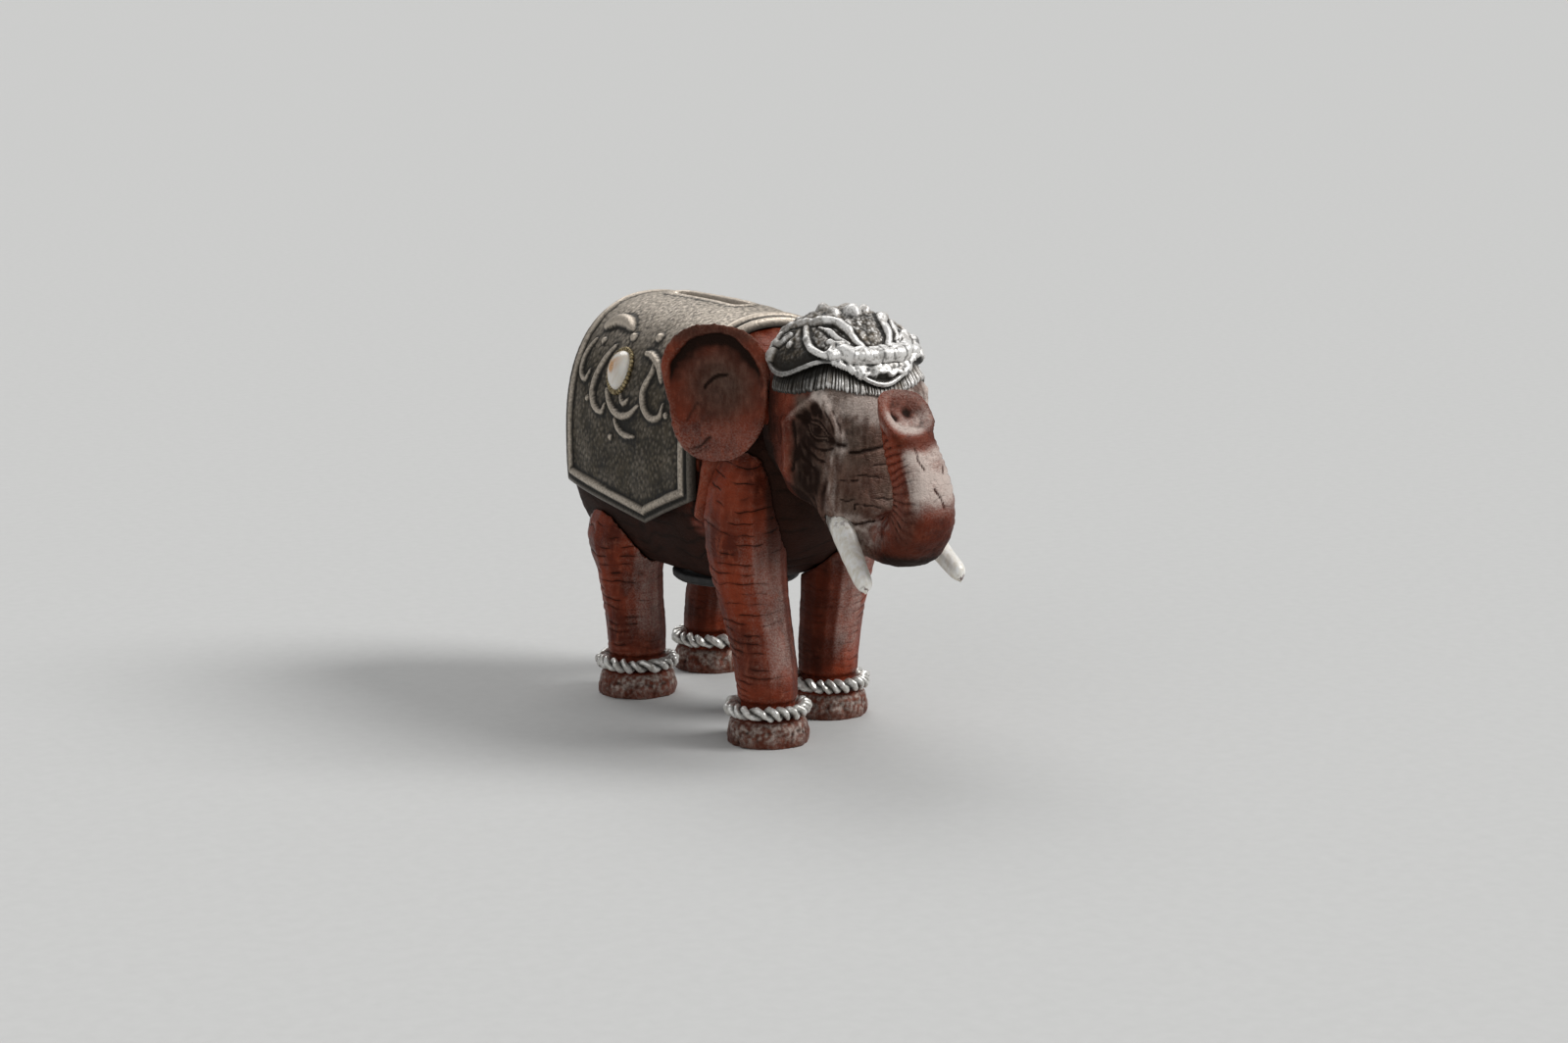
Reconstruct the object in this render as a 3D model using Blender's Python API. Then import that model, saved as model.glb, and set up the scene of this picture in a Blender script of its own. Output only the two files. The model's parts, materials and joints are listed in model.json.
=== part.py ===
"""A walking elephant money bank with its trunk raised: a hollow resin barrel with separate castings
glued to it, silver trappings, and a rubber stopper that pulls out of the belly.

Metres, +Z up. The elephant faces -Y and its left side is +X. It stands on Z = 0.
"""

import math

import bmesh
import bpy
from mathutils import Vector
from mathutils.bvhtree import BVHTree

# Fits between pieces
GLUE_GAP = 0.0003

# Barrel: the hollow body casting
BARREL_LENGTH = 0.0970
BARREL_WIDTH = 0.0470
BARREL_HEIGHT = 0.0660
BARREL_MIDDLE_Y = 0.0065
BARREL_MIDDLE_Z = 0.0650
BARREL_WALL = 0.0036
BELLY_FLAT_Z = 0.0345
CHEST_FULLNESS = 2.6
RUMP_FULLNESS = 4.0
BACK_ROUNDNESS = 2.3
BELLY_ROUNDNESS = 3.0

# Coin slot along the spine, and the stopper's hole in the belly
SLOT_LENGTH = 0.0330
SLOT_WIDTH = 0.0046
SLOT_MIDDLE_Y = 0.0110
PORT_RADIUS = 0.0136
PORT_MIDDLE_Y = -0.0010
PORT_SEAT_THICKNESS = 0.0040

# Rubber stopper
STOPPER_FLANGE_OVERHANG = 0.0022
STOPPER_FLANGE_THICKNESS = 0.0022
STOPPER_PLUG_DEPTH = 0.0062
STOPPER_PLUG_WALL = 0.0026
STOPPER_TAB_LENGTH = 0.0150
STOPPER_TAB_WIDTH = 0.0034
STOPPER_TAB_DROP = 0.0045

# Legs: where they leave the body, where their feet stand, and how thick they are
SHOULDER_Y = -0.0276
SHOULDER_STEP = 0.0016
SHOULDER_TOP_Z = 0.0740
HIP_Y = 0.0275
HAUNCH_CLEARANCE = 0.0010
FRONT_TRACK = 0.0276
HIND_TRACK = 0.0304
FRONT_STEP = 0.0083
HIND_STEP = 0.0072
FOOT_MIDDLE_FRONT_Y = -0.0298
FOOT_MIDDLE_HIND_Y = 0.0294
FOOT_RADIUS = 0.0099
FOOT_HEIGHT = 0.0062
ANKLE_RADIUS = 0.0066
SHIN_RADIUS = 0.0073
KNEE_RADIUS = 0.0083
KNEE_HEIGHT = 0.0310
THIGH_RADIUS = 0.0098
THIGH_HEIGHT = 0.0460
LEG_PEG_RADIUS = 0.0030
LEG_PEG_DEPTH = 0.0024

# Anklets: rope-twist wire rings, open at the back where they were bent on
ANKLET_WIRE_RADIUS = 0.0016
ANKLET_BEADS = 16
ANKLET_BEAD_SWELL = 0.00022
ANKLET_OPENING = 0.0016

# Head and trunk: key sections from the nape to the trunk's tip. Each gives the front line's point and
# the back line's point in side view, the half width there, and the sway to the elephant's left.
HEAD_SECTIONS = (
    (-0.0330, 0.0910, -0.0330, 0.0620, 0.0120, 0.0),
    (-0.0380, 0.0965, -0.0380, 0.0620, 0.0150, 0.0),
    (-0.0450, 0.1006, -0.0435, 0.0612, 0.0168, 0.0),
    (-0.0530, 0.1003, -0.0480, 0.0605, 0.0172, 0.0),
    (-0.0602, 0.0962, -0.0515, 0.0597, 0.0167, 0.0),
    (-0.0648, 0.0888, -0.0540, 0.0588, 0.0157, 0.0),
    (-0.0668, 0.0810, -0.0560, 0.0575, 0.0139, 0.0),
    (-0.0680, 0.0735, -0.0573, 0.0556, 0.0119, 0.0),
    (-0.0690, 0.0665, -0.0583, 0.0533, 0.0109, 0.0),
    (-0.0698, 0.0618, -0.0610, 0.0505, 0.0097, 0.0),
    (-0.0716, 0.0600, -0.0665, 0.0480, 0.0083, 0.0),
    (-0.0740, 0.0602, -0.0735, 0.0470, 0.0073, 0.0),
    (-0.0765, 0.0615, -0.0818, 0.0485, 0.0070, -0.0003),
    (-0.0778, 0.0642, -0.0885, 0.0552, 0.0069, -0.0008),
    (-0.0774, 0.0678, -0.0905, 0.0635, 0.0067, -0.0014),
    (-0.0758, 0.0722, -0.0883, 0.0712, 0.0063, -0.0020),
    (-0.0743, 0.0775, -0.0855, 0.0768, 0.0057, -0.0025),
    (-0.0737, 0.0825, -0.0838, 0.0782, 0.0056, -0.0028),
    (-0.0752, 0.0870, -0.0838, 0.0776, 0.0062, -0.0030),
)
BROW_ROUNDNESS = 2.3
JAW_ROUNDNESS = 2.8
TRUNK_TIP_LIP = 0.0013
TRUNK_TIP_DEPTH = 0.0013
NECK_PEG_RADIUS = 0.0050
NECK_PEG_HEIGHT_Z = 0.0780
NECK_PEG_DEPTH = 0.0026

# Swells and hollows of the face: place for the elephant's left side, reach, and how far it stands out
FACE_FORMS = (
    (0.0128, -0.0625, 0.0835, 0.0055, 0.0012),
    (0.0150, -0.0600, 0.0765, 0.0050, -0.0016),
    (0.0135, -0.0530, 0.0660, 0.0080, 0.0026),
    (0.0106, -0.0630, 0.0585, 0.0055, 0.0028),
)

# Tusks
TUSK_ROOT = (0.0104, -0.0645, 0.0558)
TUSK_TIP = (0.0130, -0.0785, 0.0442)
TUSK_DROOP = 0.0004
TUSK_ROOT_RADIUS = 0.0027
TUSK_TIP_RADIUS = 0.0018
TUSK_PEG_LENGTH = 0.0040

# Ears: cupped plates. The right one stands out from the head, and the left one lies back and lower.
EAR_ROOT = (0.0140, -0.0410, 0.0842)
RIGHT_EAR_SWEEP = 40.0
LEFT_EAR_SWEEP = 60.0
LEFT_EAR_DROP = 0.0040
EAR_OUTER_REACH = 0.0130
EAR_INNER_REACH = 0.0135
EAR_TOP_REACH = 0.0162
EAR_BOTTOM_REACH = 0.0172
EAR_THICKNESS = 0.0022
EAR_CUP = 0.0030
EAR_CURL = 0.0034
EAR_TAB_HEIGHT = 0.0080
EAR_TAB_LENGTH = 0.0060

# Tail: key points down the rump in side view, with the radius there
TAIL_ROOT_Z = 0.0830
TAIL_TIP_Z = 0.0430
TAIL_ROOT_RADIUS = 0.0024
TAIL_TIP_RADIUS = 0.0014
TAIL_TUFT_RADIUS = 0.0027
TAIL_TUFT_LENGTH = 0.0120
TAIL_PEG_DEPTH = 0.0024

# Saddle cloth: a cast shell over the back with a raised border, pointed at the foot of each side panel
CLOTH_FRONT_Y = -0.0190
CLOTH_REAR_Y = 0.0420
CLOTH_POINT_Y = 0.0010
CLOTH_FRONT_CORNER_Z = 0.0560
CLOTH_POINT_Z = 0.0482
CLOTH_REAR_CORNER_Z = 0.0530
CLOTH_THICKNESS = 0.0016
CLOTH_BORDER_WIDTH = 0.0026
CLOTH_BORDER_HEIGHT = 0.0007

# Scrolls cast on the cloth's side panels: a radius, and places along the body and up from its middle
CLOTH_SCROLLS = (
    (0.0010, ((0.0218, 0.0230), (0.0242, 0.0200), (0.0264, 0.0155), (0.0270, 0.0114), (0.0250, 0.0080),
              (0.0214, 0.0072))),
    (0.0010, ((0.0012, 0.0224), (0.0006, 0.0190), (0.0024, 0.0146), (0.0010, 0.0108), (-0.0026, 0.0086),
              (-0.0064, 0.0094))),
    (0.0010, ((0.0200, 0.0128), (0.0182, 0.0104), (0.0152, 0.0082), (0.0112, 0.0074), (0.0072, 0.0084),
              (0.0040, 0.0108))),
    (0.0009, ((0.0146, 0.0062), (0.0126, 0.0042), (0.0092, 0.0030), (0.0046, 0.0032))),
    (0.0011, ((0.0064, 0.0230), (0.0026, 0.0226), (-0.0016, 0.0206), (-0.0044, 0.0174))),
    (0.0012, ((0.0312, 0.0268), (0.0274, 0.0284), (0.0226, 0.0286), (0.0184, 0.0274))),
    (0.0009, ((-0.0062, 0.0250), (-0.0098, 0.0222), (-0.0116, 0.0182), (-0.0104, 0.0148))),
    (0.0009, ((0.0334, 0.0234), (0.0356, 0.0196), (0.0352, 0.0154), (0.0322, 0.0138))),
)

# Stones on the cloth's side panels
STONE_Y = 0.0157
STONE_Z = BARREL_MIDDLE_Z + 0.0180
STONE_WIDTH = 0.0090
STONE_HEIGHT = 0.0100
STONE_RISE = 0.0028

# Cap on the forehead, with a scalloped rim
CAP_THICKNESS = 0.0022
CAP_RIM_FRONT_Z = 0.0872
CAP_RIM_SCALLOP = 0.0050
CAP_RIM_REAR_RISE = 0.0040
CAP_MIDDLE_Y = -0.0500
CAP_MIDDLE_Z = 0.0800
CAP_REACH = 0.0205

# Scrolls cast on each half of the cap: a radius, and places in degrees round from the front and up from
# the cap's middle. The leaf lies across the front, and the bosses stand on the crown.
CAP_SCROLLS = (
    (0.0011, ((142, 46), (122, 54), (100, 61), (76, 66), (53, 69), (36, 65), (27, 60), (22, 55), (15, 51))),
    (0.0009, ((84, 60), (78, 56), (70, 50), (62, 45), (52, 42), (44, 42), (37, 45), (39, 49))),
    (0.0009, ((168, 54), (155, 51), (144, 55), (149, 62), (162, 63))),
)
CAP_LEAF_RADIUS = 0.0019
CAP_LEAF = ((-37, 47), (-28, 43), (-14, 44), (0, 45), (14, 44), (28, 43), (37, 47))
CAP_BOSSES = (
    (0.0019, (0, 83)),
    (0.0015, (70, 79)),
    (0.0015, (-70, 79)),
    (0.0015, (148, 76)),
    (0.0015, (-148, 76)),
)

# Finishes: colour, roughness and metallic value
FINISHES = {
    "resin_skin": ((0.19, 0.055, 0.035), 0.42, 0.0),
    "antique_silver": ((0.33, 0.32, 0.28), 0.38, 0.75),
    "bright_silver": ((0.72, 0.71, 0.67), 0.35, 0.8),
    "pearl_stone": ((0.86, 0.80, 0.70), 0.15, 0.0),
    "rubber": ((0.03, 0.03, 0.03), 0.7, 0.0),
}

# Facets
BARREL_RINGS = 22
BARREL_SIDES = 32
CAVITY_RINGS = 16
CAVITY_SIDES = 24
HEAD_RINGS = 46
HEAD_SIDES = 24
LEG_RINGS = 9
LEG_SIDES = 16
ROUND_SIDES = 32
PEG_SIDES = 16
SCROLL_SIDES = 6


# Making objects

def remove_everything():
    for old in list(bpy.data.objects):
        bpy.data.objects.remove(old)


def finish_material(finish):
    """The material of a finish, made the first time that a piece asks for it."""
    found = bpy.data.materials.get(finish)
    if found:
        return found
    colour, roughness, metallic = FINISHES[finish]
    made = bpy.data.materials.new(finish)
    made.use_nodes = True
    shader = made.node_tree.nodes["Principled BSDF"]
    shader.inputs["Base Color"].default_value = (*colour, 1.0)
    shader.inputs["Roughness"].default_value = roughness
    shader.inputs["Metallic"].default_value = metallic
    return made


def add_object(name, mesh, finish=None):
    """A named piece with its finish, or a hidden cutter where no finish is given."""
    made = bpy.data.objects.new(name, mesh)
    bpy.context.scene.collection.objects.link(made)
    if finish is None:
        made.hide_render = True
        made.display_type = "WIRE"
    else:
        mesh.materials.append(finish_material(finish))
        mesh.shade_smooth()
        mesh.set_sharp_from_angle(angle=math.radians(50))
    return made


def mesh_of(shape, name):
    """A mesh with its faces pointing out, from a closed bmesh."""
    bmesh.ops.recalc_face_normals(shape, faces=shape.faces)
    mesh = bpy.data.meshes.new(name)
    shape.to_mesh(mesh)
    shape.free()
    return mesh


def loft(name, rings):
    """A closed mesh through rings of points. A ring of one point is a pole, and an end ring is capped."""
    shape = bmesh.new()
    rows = [[shape.verts.new(point) for point in ring] for ring in rings]
    for row, following in zip(rows, rows[1:]):
        count = max(len(row), len(following))
        for i in range(count):
            j = (i + 1) % count
            corners = [row[i % len(row)], row[j % len(row)]]
            corners += [following[j % len(following)], following[i % len(following)]]
            shape.faces.new(list(dict.fromkeys(corners)))
    for row in (rows[0], rows[-1]):
        if len(row) > 1:
            shape.faces.new(row)
    return mesh_of(shape, name)


def combine(target, other, operation):
    """A Boolean of the target with a hidden helper object."""
    modifier = target.modifiers.new(f"{operation.lower()} {other.name}", "BOOLEAN")
    modifier.operation = operation
    modifier.object = other
    modifier.solver = "EXACT"


def cut(target, *cutters):
    for cutter in cutters:
        combine(target, cutter, "DIFFERENCE")


def join(target, *helpers):
    for helper in helpers:
        combine(target, helper, "UNION")


# Curves and sections

def smooth_through(keys, place):
    """The values at a place on a smooth curve through keys, each of them (place, values)."""
    last = len(keys) - 1
    i = 0
    while i < last - 1 and place > keys[i + 1][0]:
        i += 1
    (p1, v1), (p2, v2) = keys[i], keys[i + 1]
    p0, v0 = keys[max(i - 1, 0)]
    p3, v3 = keys[min(i + 2, last)]
    span = p2 - p1
    t = (place - p1) / span
    values = []
    for a, b, c, d in zip(v0, v1, v2, v3):
        slope_1 = (c - a) / max(p2 - p0, span) * span
        slope_2 = (d - b) / max(p3 - p1, span) * span
        rise = c - b
        values.append(
            b + slope_1 * t + (3 * rise - 2 * slope_1 - slope_2) * t**2
            + (slope_1 + slope_2 - 2 * rise) * t**3
        )
    return values


def bent_power(value, power):
    return math.copysign(abs(value) ** power, value)


def circle(centre, across, up, sides):
    """Points round a centre; across and up are the circle's two radius vectors."""
    turns = [2 * math.pi * k / sides for k in range(sides)]
    return [centre + across * math.cos(a) + up * math.sin(a) for a in turns]


def tube(name, path, radii, sides):
    """A closed tube with flat ends along a path of points, with a radius at each."""
    rings = []
    across = None
    for i, (point, radius) in enumerate(zip(path, radii)):
        ahead = (path[min(i + 1, len(path) - 1)] - path[max(i - 1, 0)]).normalized()
        if across is None:
            across = ahead.orthogonal().normalized()
        across = (across - ahead * across.dot(ahead)).normalized()
        rings.append(circle(point, across * radius, ahead.cross(across) * radius, sides))
    return loft(name, rings)


def peg(name, start, end, radius):
    return add_object(name, tube(name, [start, end], [radius, radius], PEG_SIDES))


def scroll(name, places, radius):
    """A rod that tapers to both ends along a smooth line through places."""
    last = len(places) - 1
    keys = [(k / last, place) for k, place in enumerate(places)]
    steps = 2 * last
    line = [Vector(smooth_through(keys, k / steps)) for k in range(steps + 1)]
    radii = [radius * (0.6 + 0.4 * math.sin(math.pi * k / steps)) for k in range(steps + 1)]
    return add_object(name, tube(name, line, radii, SCROLL_SIDES))


# The barrel's surface, at its own size or grown outwards

def barrel_section(y, grow=0.0):
    """Half width and half height of the barrel at a place along it."""
    t = (y - BARREL_MIDDLE_Y) / (BARREL_LENGTH / 2 + grow)
    power = CHEST_FULLNESS if t < 0 else RUMP_FULLNESS
    share = max(0.0, 1 - abs(t) ** power) ** (1 / power)
    return (BARREL_WIDTH / 2 + grow) * share, (BARREL_HEIGHT / 2 + grow) * share


def barrel_point(y, angle, grow=0.0):
    """A point round the barrel: angle 0 is its left side and a quarter turn is the spine."""
    half_width, half_height = barrel_section(y, grow)
    roundness = BACK_ROUNDNESS if math.sin(angle) > 0 else BELLY_ROUNDNESS
    x = half_width * bent_power(math.cos(angle), 2 / roundness)
    z = half_height * bent_power(math.sin(angle), 2 / roundness)
    return Vector((x, y, BARREL_MIDDLE_Z + z))


def barrel_angle(y, z, grow=0.0):
    """The angle at which the barrel's left side reaches a height."""
    share = (z - BARREL_MIDDLE_Z) / barrel_section(y, grow)[1]
    roundness = BACK_ROUNDNESS if share > 0 else BELLY_ROUNDNESS
    return math.asin(bent_power(share, roundness / 2))


def barrel_underside(x, y):
    """Height of the barrel's underside, or of the belly's flat where that is higher."""
    half_width, half_height = barrel_section(y)
    share = (1 - (x / half_width) ** BELLY_ROUNDNESS) ** (1 / BELLY_ROUNDNESS)
    return max(BARREL_MIDDLE_Z - half_height * share, BELLY_FLAT_Z)


def barrel_end_y(z, side):
    """Where the barrel ends at a height on its midplane: side -1 is the chest and +1 the rump."""
    power = CHEST_FULLNESS if side < 0 else RUMP_FULLNESS
    share = abs(z - BARREL_MIDDLE_Z) / (BARREL_HEIGHT / 2)
    return BARREL_MIDDLE_Y + side * BARREL_LENGTH / 2 * (1 - share**power) ** (1 / power)


def barrel_solid(name, grow, rings, sides):
    half = BARREL_LENGTH / 2 + grow
    turns = [2 * math.pi * k / sides for k in range(sides)]
    rows = [[Vector((0, BARREL_MIDDLE_Y - half, BARREL_MIDDLE_Z))]]
    for k in range(1, rings):
        y = BARREL_MIDDLE_Y - half * math.cos(math.pi * k / rings)
        rows.append([barrel_point(y, angle, grow) for angle in turns])
    rows.append([Vector((0, BARREL_MIDDLE_Y + half, BARREL_MIDDLE_Z))])
    return loft(name, rows)


def below(name, z):
    """A block that takes away all that lies under a height."""
    half = BARREL_LENGTH
    corners = [(-half, -half), (half, -half), (half, half), (-half, half)]
    rings = [[Vector((x, y, level)) for x, y in corners] for level in (z - half, z)]
    return add_object(name, loft(name, rings))


def coin_slot_cutter():
    """A round-ended bar that stands through the cloth and the barrel's back."""
    radius = SLOT_WIDTH / 2
    reach = SLOT_LENGTH / 2 - radius
    outline = []
    for k in range(PEG_SIDES):
        angle = 2 * math.pi * (k + 0.5) / PEG_SIDES
        end = math.copysign(reach, math.sin(angle))
        outline.append((radius * math.cos(angle), end + radius * math.sin(angle)))
    levels = (BARREL_MIDDLE_Z, BARREL_MIDDLE_Z + BARREL_HEIGHT)
    rings = [[Vector((x, SLOT_MIDDLE_Y + y, z)) for x, y in outline] for z in levels]
    return add_object("coin_slot_cutter", loft("coin_slot_cutter", rings))


def make_barrel():
    """The hollow casting: a flat belly with a round port, a coin slot, and blind sockets for its joints."""
    barrel = add_object(
        "barrel", barrel_solid("barrel", 0.0, BARREL_RINGS, BARREL_SIDES), "resin_skin"
    )
    cavity = add_object(
        "coin_chamber", barrel_solid("coin_chamber", -BARREL_WALL, CAVITY_RINGS, CAVITY_SIDES)
    )
    cut(cavity, below("chamber_floor", BELLY_FLAT_Z + PORT_SEAT_THICKNESS))
    middle = Vector((0, PORT_MIDDLE_Y, 0))
    across, ahead = Vector((PORT_RADIUS, 0, 0)), Vector((0, PORT_RADIUS, 0))
    levels = (BELLY_FLAT_Z - BARREL_WALL, BARREL_MIDDLE_Z)
    rings = [circle(middle + Vector((0, 0, z)), across, ahead, ROUND_SIDES) for z in levels]
    port = add_object("port_cutter", loft("port_cutter", rings))
    cut(barrel, cavity, below("belly_plane", BELLY_FLAT_Z), port)
    return barrel


# The stopper

def make_stopper():
    """A rubber bung: a cup that fills the port, a flange under the belly and a tab to pull."""
    plug = PORT_RADIUS - GLUE_GAP
    bore = plug - STOPPER_PLUG_WALL
    flange = PORT_RADIUS + STOPPER_FLANGE_OVERHANG
    top = STOPPER_PLUG_DEPTH
    under = -GLUE_GAP - STOPPER_FLANGE_THICKNESS
    lead = STOPPER_PLUG_WALL / 3
    outline = [
        (bore, -GLUE_GAP), (bore, top), (plug - lead, top), (plug, top - lead), (plug, -GLUE_GAP),
        (flange, -GLUE_GAP), (flange, under + lead), (flange - lead, under),
    ]
    rings = [[Vector((0, 0, -GLUE_GAP))]]
    for radius, z in outline:
        across, ahead = Vector((radius, 0, 0)), Vector((0, radius, 0))
        rings.append(circle(Vector((0, 0, z)), across, ahead, ROUND_SIDES))
    rings.append([Vector((0, 0, under))])
    stopper = add_object("stopper", loft("stopper", rings), "rubber")
    half_length, half_width = STOPPER_TAB_LENGTH / 2, STOPPER_TAB_WIDTH / 2
    tab_levels = (under + STOPPER_FLANGE_THICKNESS / 2, under - STOPPER_TAB_DROP)
    rings = [
        circle(Vector((0, 0, z)), Vector((half_width, 0, 0)), Vector((0, half_length, 0)), PEG_SIDES)
        for z in tab_levels
    ]
    tab = add_object("stopper_tab", loft("stopper_tab", rings))
    join(stopper, tab)
    stopper.location = (0, PORT_MIDDLE_Y, BELLY_FLAT_Z)
    tab.location = stopper.location
    return stopper


# Legs and anklets

def anklet_height():
    """Height of an anklet's wire, which rests on the top of the foot."""
    return FOOT_HEIGHT + GLUE_GAP + ANKLET_WIRE_RADIUS + ANKLET_BEAD_SWELL


def foot_sections():
    """(height, radius) from the sole over the foot and up the ankle's groove."""
    groove_top = 2 * anklet_height() - FOOT_HEIGHT
    return [
        (0.0, FOOT_RADIUS * 0.97),
        (FOOT_HEIGHT * 0.3, FOOT_RADIUS),
        (FOOT_HEIGHT * 0.8, FOOT_RADIUS * 0.95),
        (FOOT_HEIGHT, (FOOT_RADIUS + ANKLE_RADIUS) / 2),
        (FOOT_HEIGHT + GLUE_GAP, ANKLE_RADIUS),
        (groove_top, ANKLE_RADIUS),
    ]


def leg_sections(front):
    """(height, (half width, half depth, outward shift)) from above the ankle to the leg's top."""
    groove_top = foot_sections()[-1][0]
    sections = [
        (groove_top + GLUE_GAP, (SHIN_RADIUS, SHIN_RADIUS, 0.0)),
        (KNEE_HEIGHT, (KNEE_RADIUS, KNEE_RADIUS, 0.0)),
    ]
    if front:
        rise = SHOULDER_TOP_Z - THIGH_HEIGHT
        return sections + [
            (THIGH_HEIGHT, (THIGH_RADIUS, THIGH_RADIUS, 0.0005)),
            (THIGH_HEIGHT + rise * 0.40, (THIGH_RADIUS * 0.95, THIGH_RADIUS, 0.0008)),
            (THIGH_HEIGHT + rise * 0.75, (THIGH_RADIUS * 0.72, THIGH_RADIUS * 0.8, -0.0008)),
            (SHOULDER_TOP_Z, (THIGH_RADIUS * 0.2, THIGH_RADIUS * 0.3, -0.0030)),
        ]
    top = CLOTH_POINT_Z - HAUNCH_CLEARANCE
    return sections + [
        (THIGH_HEIGHT * 0.84, (THIGH_RADIUS * 1.02, THIGH_RADIUS * 1.22, -0.0004)),
        (top, (THIGH_RADIUS * 0.80, THIGH_RADIUS * 1.15, -0.0012)),
    ]


def leg_place(front, side):
    """Middle of the foot and of the leg's top, for side +1 on the elephant's left."""
    x = side * (FRONT_TRACK if front else HIND_TRACK) / 2
    if front:
        foot = Vector((x, FOOT_MIDDLE_FRONT_Y + side * FRONT_STEP, 0))
        return foot, SHOULDER_Y + side * SHOULDER_STEP
    return Vector((x, FOOT_MIDDLE_HIND_Y + side * HIND_STEP, 0)), HIP_Y


def make_leg(name, front, side, barrel, barrel_grown):
    """A leg cast with its foot, hollowed to sit against the barrel, with a peg up into the barrel's wall."""
    foot, top_y = leg_place(front, side)
    levels = [(height, (radius, radius, 0.0)) for height, radius in foot_sections()]
    sections = leg_sections(front)
    start, top = sections[0][0], sections[-1][0]
    for k in range(LEG_RINGS + 1):
        height = start + (top - start) * k / LEG_RINGS
        levels.append((height, smooth_through(sections, height)))
    rings = []
    for height, (half_width, half_depth, shift) in levels:
        lean = max(0.0, min(1.0, (height - start) / (THIGH_HEIGHT - start)))
        lean = lean * lean * (3 - 2 * lean)
        middle = Vector((foot.x + side * shift, foot.y + (top_y - foot.y) * lean, height))
        across, ahead = Vector((half_width, 0, 0)), Vector((0, half_depth, 0))
        rings.append(circle(middle, across, ahead, LEG_SIDES))
    leg = add_object(name, loft(name, rings), "resin_skin")
    seat = barrel_underside(abs(foot.x), top_y)
    peg_foot = Vector((foot.x, top_y, seat - 3 * LEG_PEG_DEPTH))
    peg_top = Vector((foot.x, top_y, seat + LEG_PEG_DEPTH))
    slack = Vector((0, 0, GLUE_GAP))
    cut(leg, barrel_grown)
    join(leg, peg(f"{name}_peg", peg_foot, peg_top, LEG_PEG_RADIUS))
    cut(barrel, peg(f"{name}_socket", peg_foot, peg_top + slack, LEG_PEG_RADIUS + GLUE_GAP))
    return leg


def anklet_mesh():
    """An open ring of beaded wire, lying flat round the origin, its ends at the back."""
    radius = ANKLE_RADIUS + GLUE_GAP + ANKLET_WIRE_RADIUS + ANKLET_BEAD_SWELL
    opening = ANKLET_OPENING / radius
    steps = ANKLET_BEADS * 2
    path, radii = [], []
    for k in range(steps + 1):
        angle = math.pi / 2 + opening / 2 + (2 * math.pi - opening) * k / steps
        path.append(Vector((radius * math.cos(angle), radius * math.sin(angle), 0)))
        radii.append(ANKLET_WIRE_RADIUS + (ANKLET_BEAD_SWELL if k % 2 else -ANKLET_BEAD_SWELL))
    return tube("anklet", path, radii, 6)


def make_anklet(name, mesh, front, side):
    foot, _ = leg_place(front, side)
    anklet = add_object(name, mesh, "bright_silver")
    anklet.location = (foot.x, foot.y, anklet_height())
    return anklet


# Head, trunk, tusks and cap

def head_ring(place, grow=0.0):
    """Points round the head and trunk at a place from 0, the nape, to 1, the trunk's tip."""
    keys = [(k / (len(HEAD_SECTIONS) - 1), section) for k, section in enumerate(HEAD_SECTIONS)]
    front_y, front_z, back_y, back_z, side, sway = smooth_through(keys, place)
    front, back = Vector((sway, front_y, front_z)), Vector((sway, back_y, back_z))
    axis = (front - back).normalized()
    middle = (front + back) / 2
    depth = (front - back).length / 2 + grow
    points = []
    for k in range(HEAD_SIDES):
        angle = 2 * math.pi * k / HEAD_SIDES
        bend = 2 / (BROW_ROUNDNESS if math.sin(angle) > 0 else JAW_ROUNDNESS)
        across = Vector(((side + grow) * bent_power(math.cos(angle), bend), 0, 0))
        points.append(middle + across + axis * depth * bent_power(math.sin(angle), bend))
    return points


def shaped(point, outwards):
    """A point of the head moved by the swells and hollows of the face."""
    moved = point.copy()
    for x, y, z, reach, rise in FACE_FORMS:
        away = (Vector((abs(point.x), point.y, point.z)) - Vector((x, y, z))).length / reach
        moved += outwards * rise * math.exp(-away * away)
    return moved


def head_solid(name, grow):
    """The head and trunk as one form, ending in a dished trunk tip."""
    rings = []
    for k in range(HEAD_RINGS + 1):
        ring = head_ring(k / HEAD_RINGS, grow)
        middle = sum(ring, Vector()) / len(ring)
        rings.append([shaped(point, (point - middle).normalized()) for point in ring])
    rings[0] = [point + Vector((0, grow, 0)) for point in rings[0]]
    tip = rings[-1]
    middle = sum(tip, Vector()) / len(tip)
    inwards = (tip[1] - middle).cross(tip[0] - middle).normalized()
    if inwards.dot(sum(rings[-2], Vector()) / len(tip) - middle) < 0:
        inwards.negate()
    radius = (tip[0] - middle).length
    lip = 1 - TRUNK_TIP_LIP / radius
    rings.append([middle + (point - middle) * lip for point in tip])
    hollow = middle + inwards * max(TRUNK_TIP_DEPTH - grow, 0.0)
    rings.append([hollow + (point - middle) * lip * 0.7 for point in tip])
    return loft(name, rings)


def make_head(barrel, barrel_grown):
    """The head cast in one with the trunk, hollowed to sit on the chest, with a peg back into the barrel."""
    head = add_object("head", head_solid("head", 0.0), "resin_skin")
    seat = barrel_end_y(NECK_PEG_HEIGHT_Z, -1)
    start = Vector((0, seat - 3 * NECK_PEG_DEPTH, NECK_PEG_HEIGHT_Z))
    end = Vector((0, seat + NECK_PEG_DEPTH, NECK_PEG_HEIGHT_Z))
    slack = Vector((0, GLUE_GAP, 0))
    cut(head, barrel_grown)
    join(head, peg("neck_peg", start, end, NECK_PEG_RADIUS))
    cut(barrel, peg("neck_socket", start, end + slack, NECK_PEG_RADIUS + GLUE_GAP))
    return head


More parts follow.
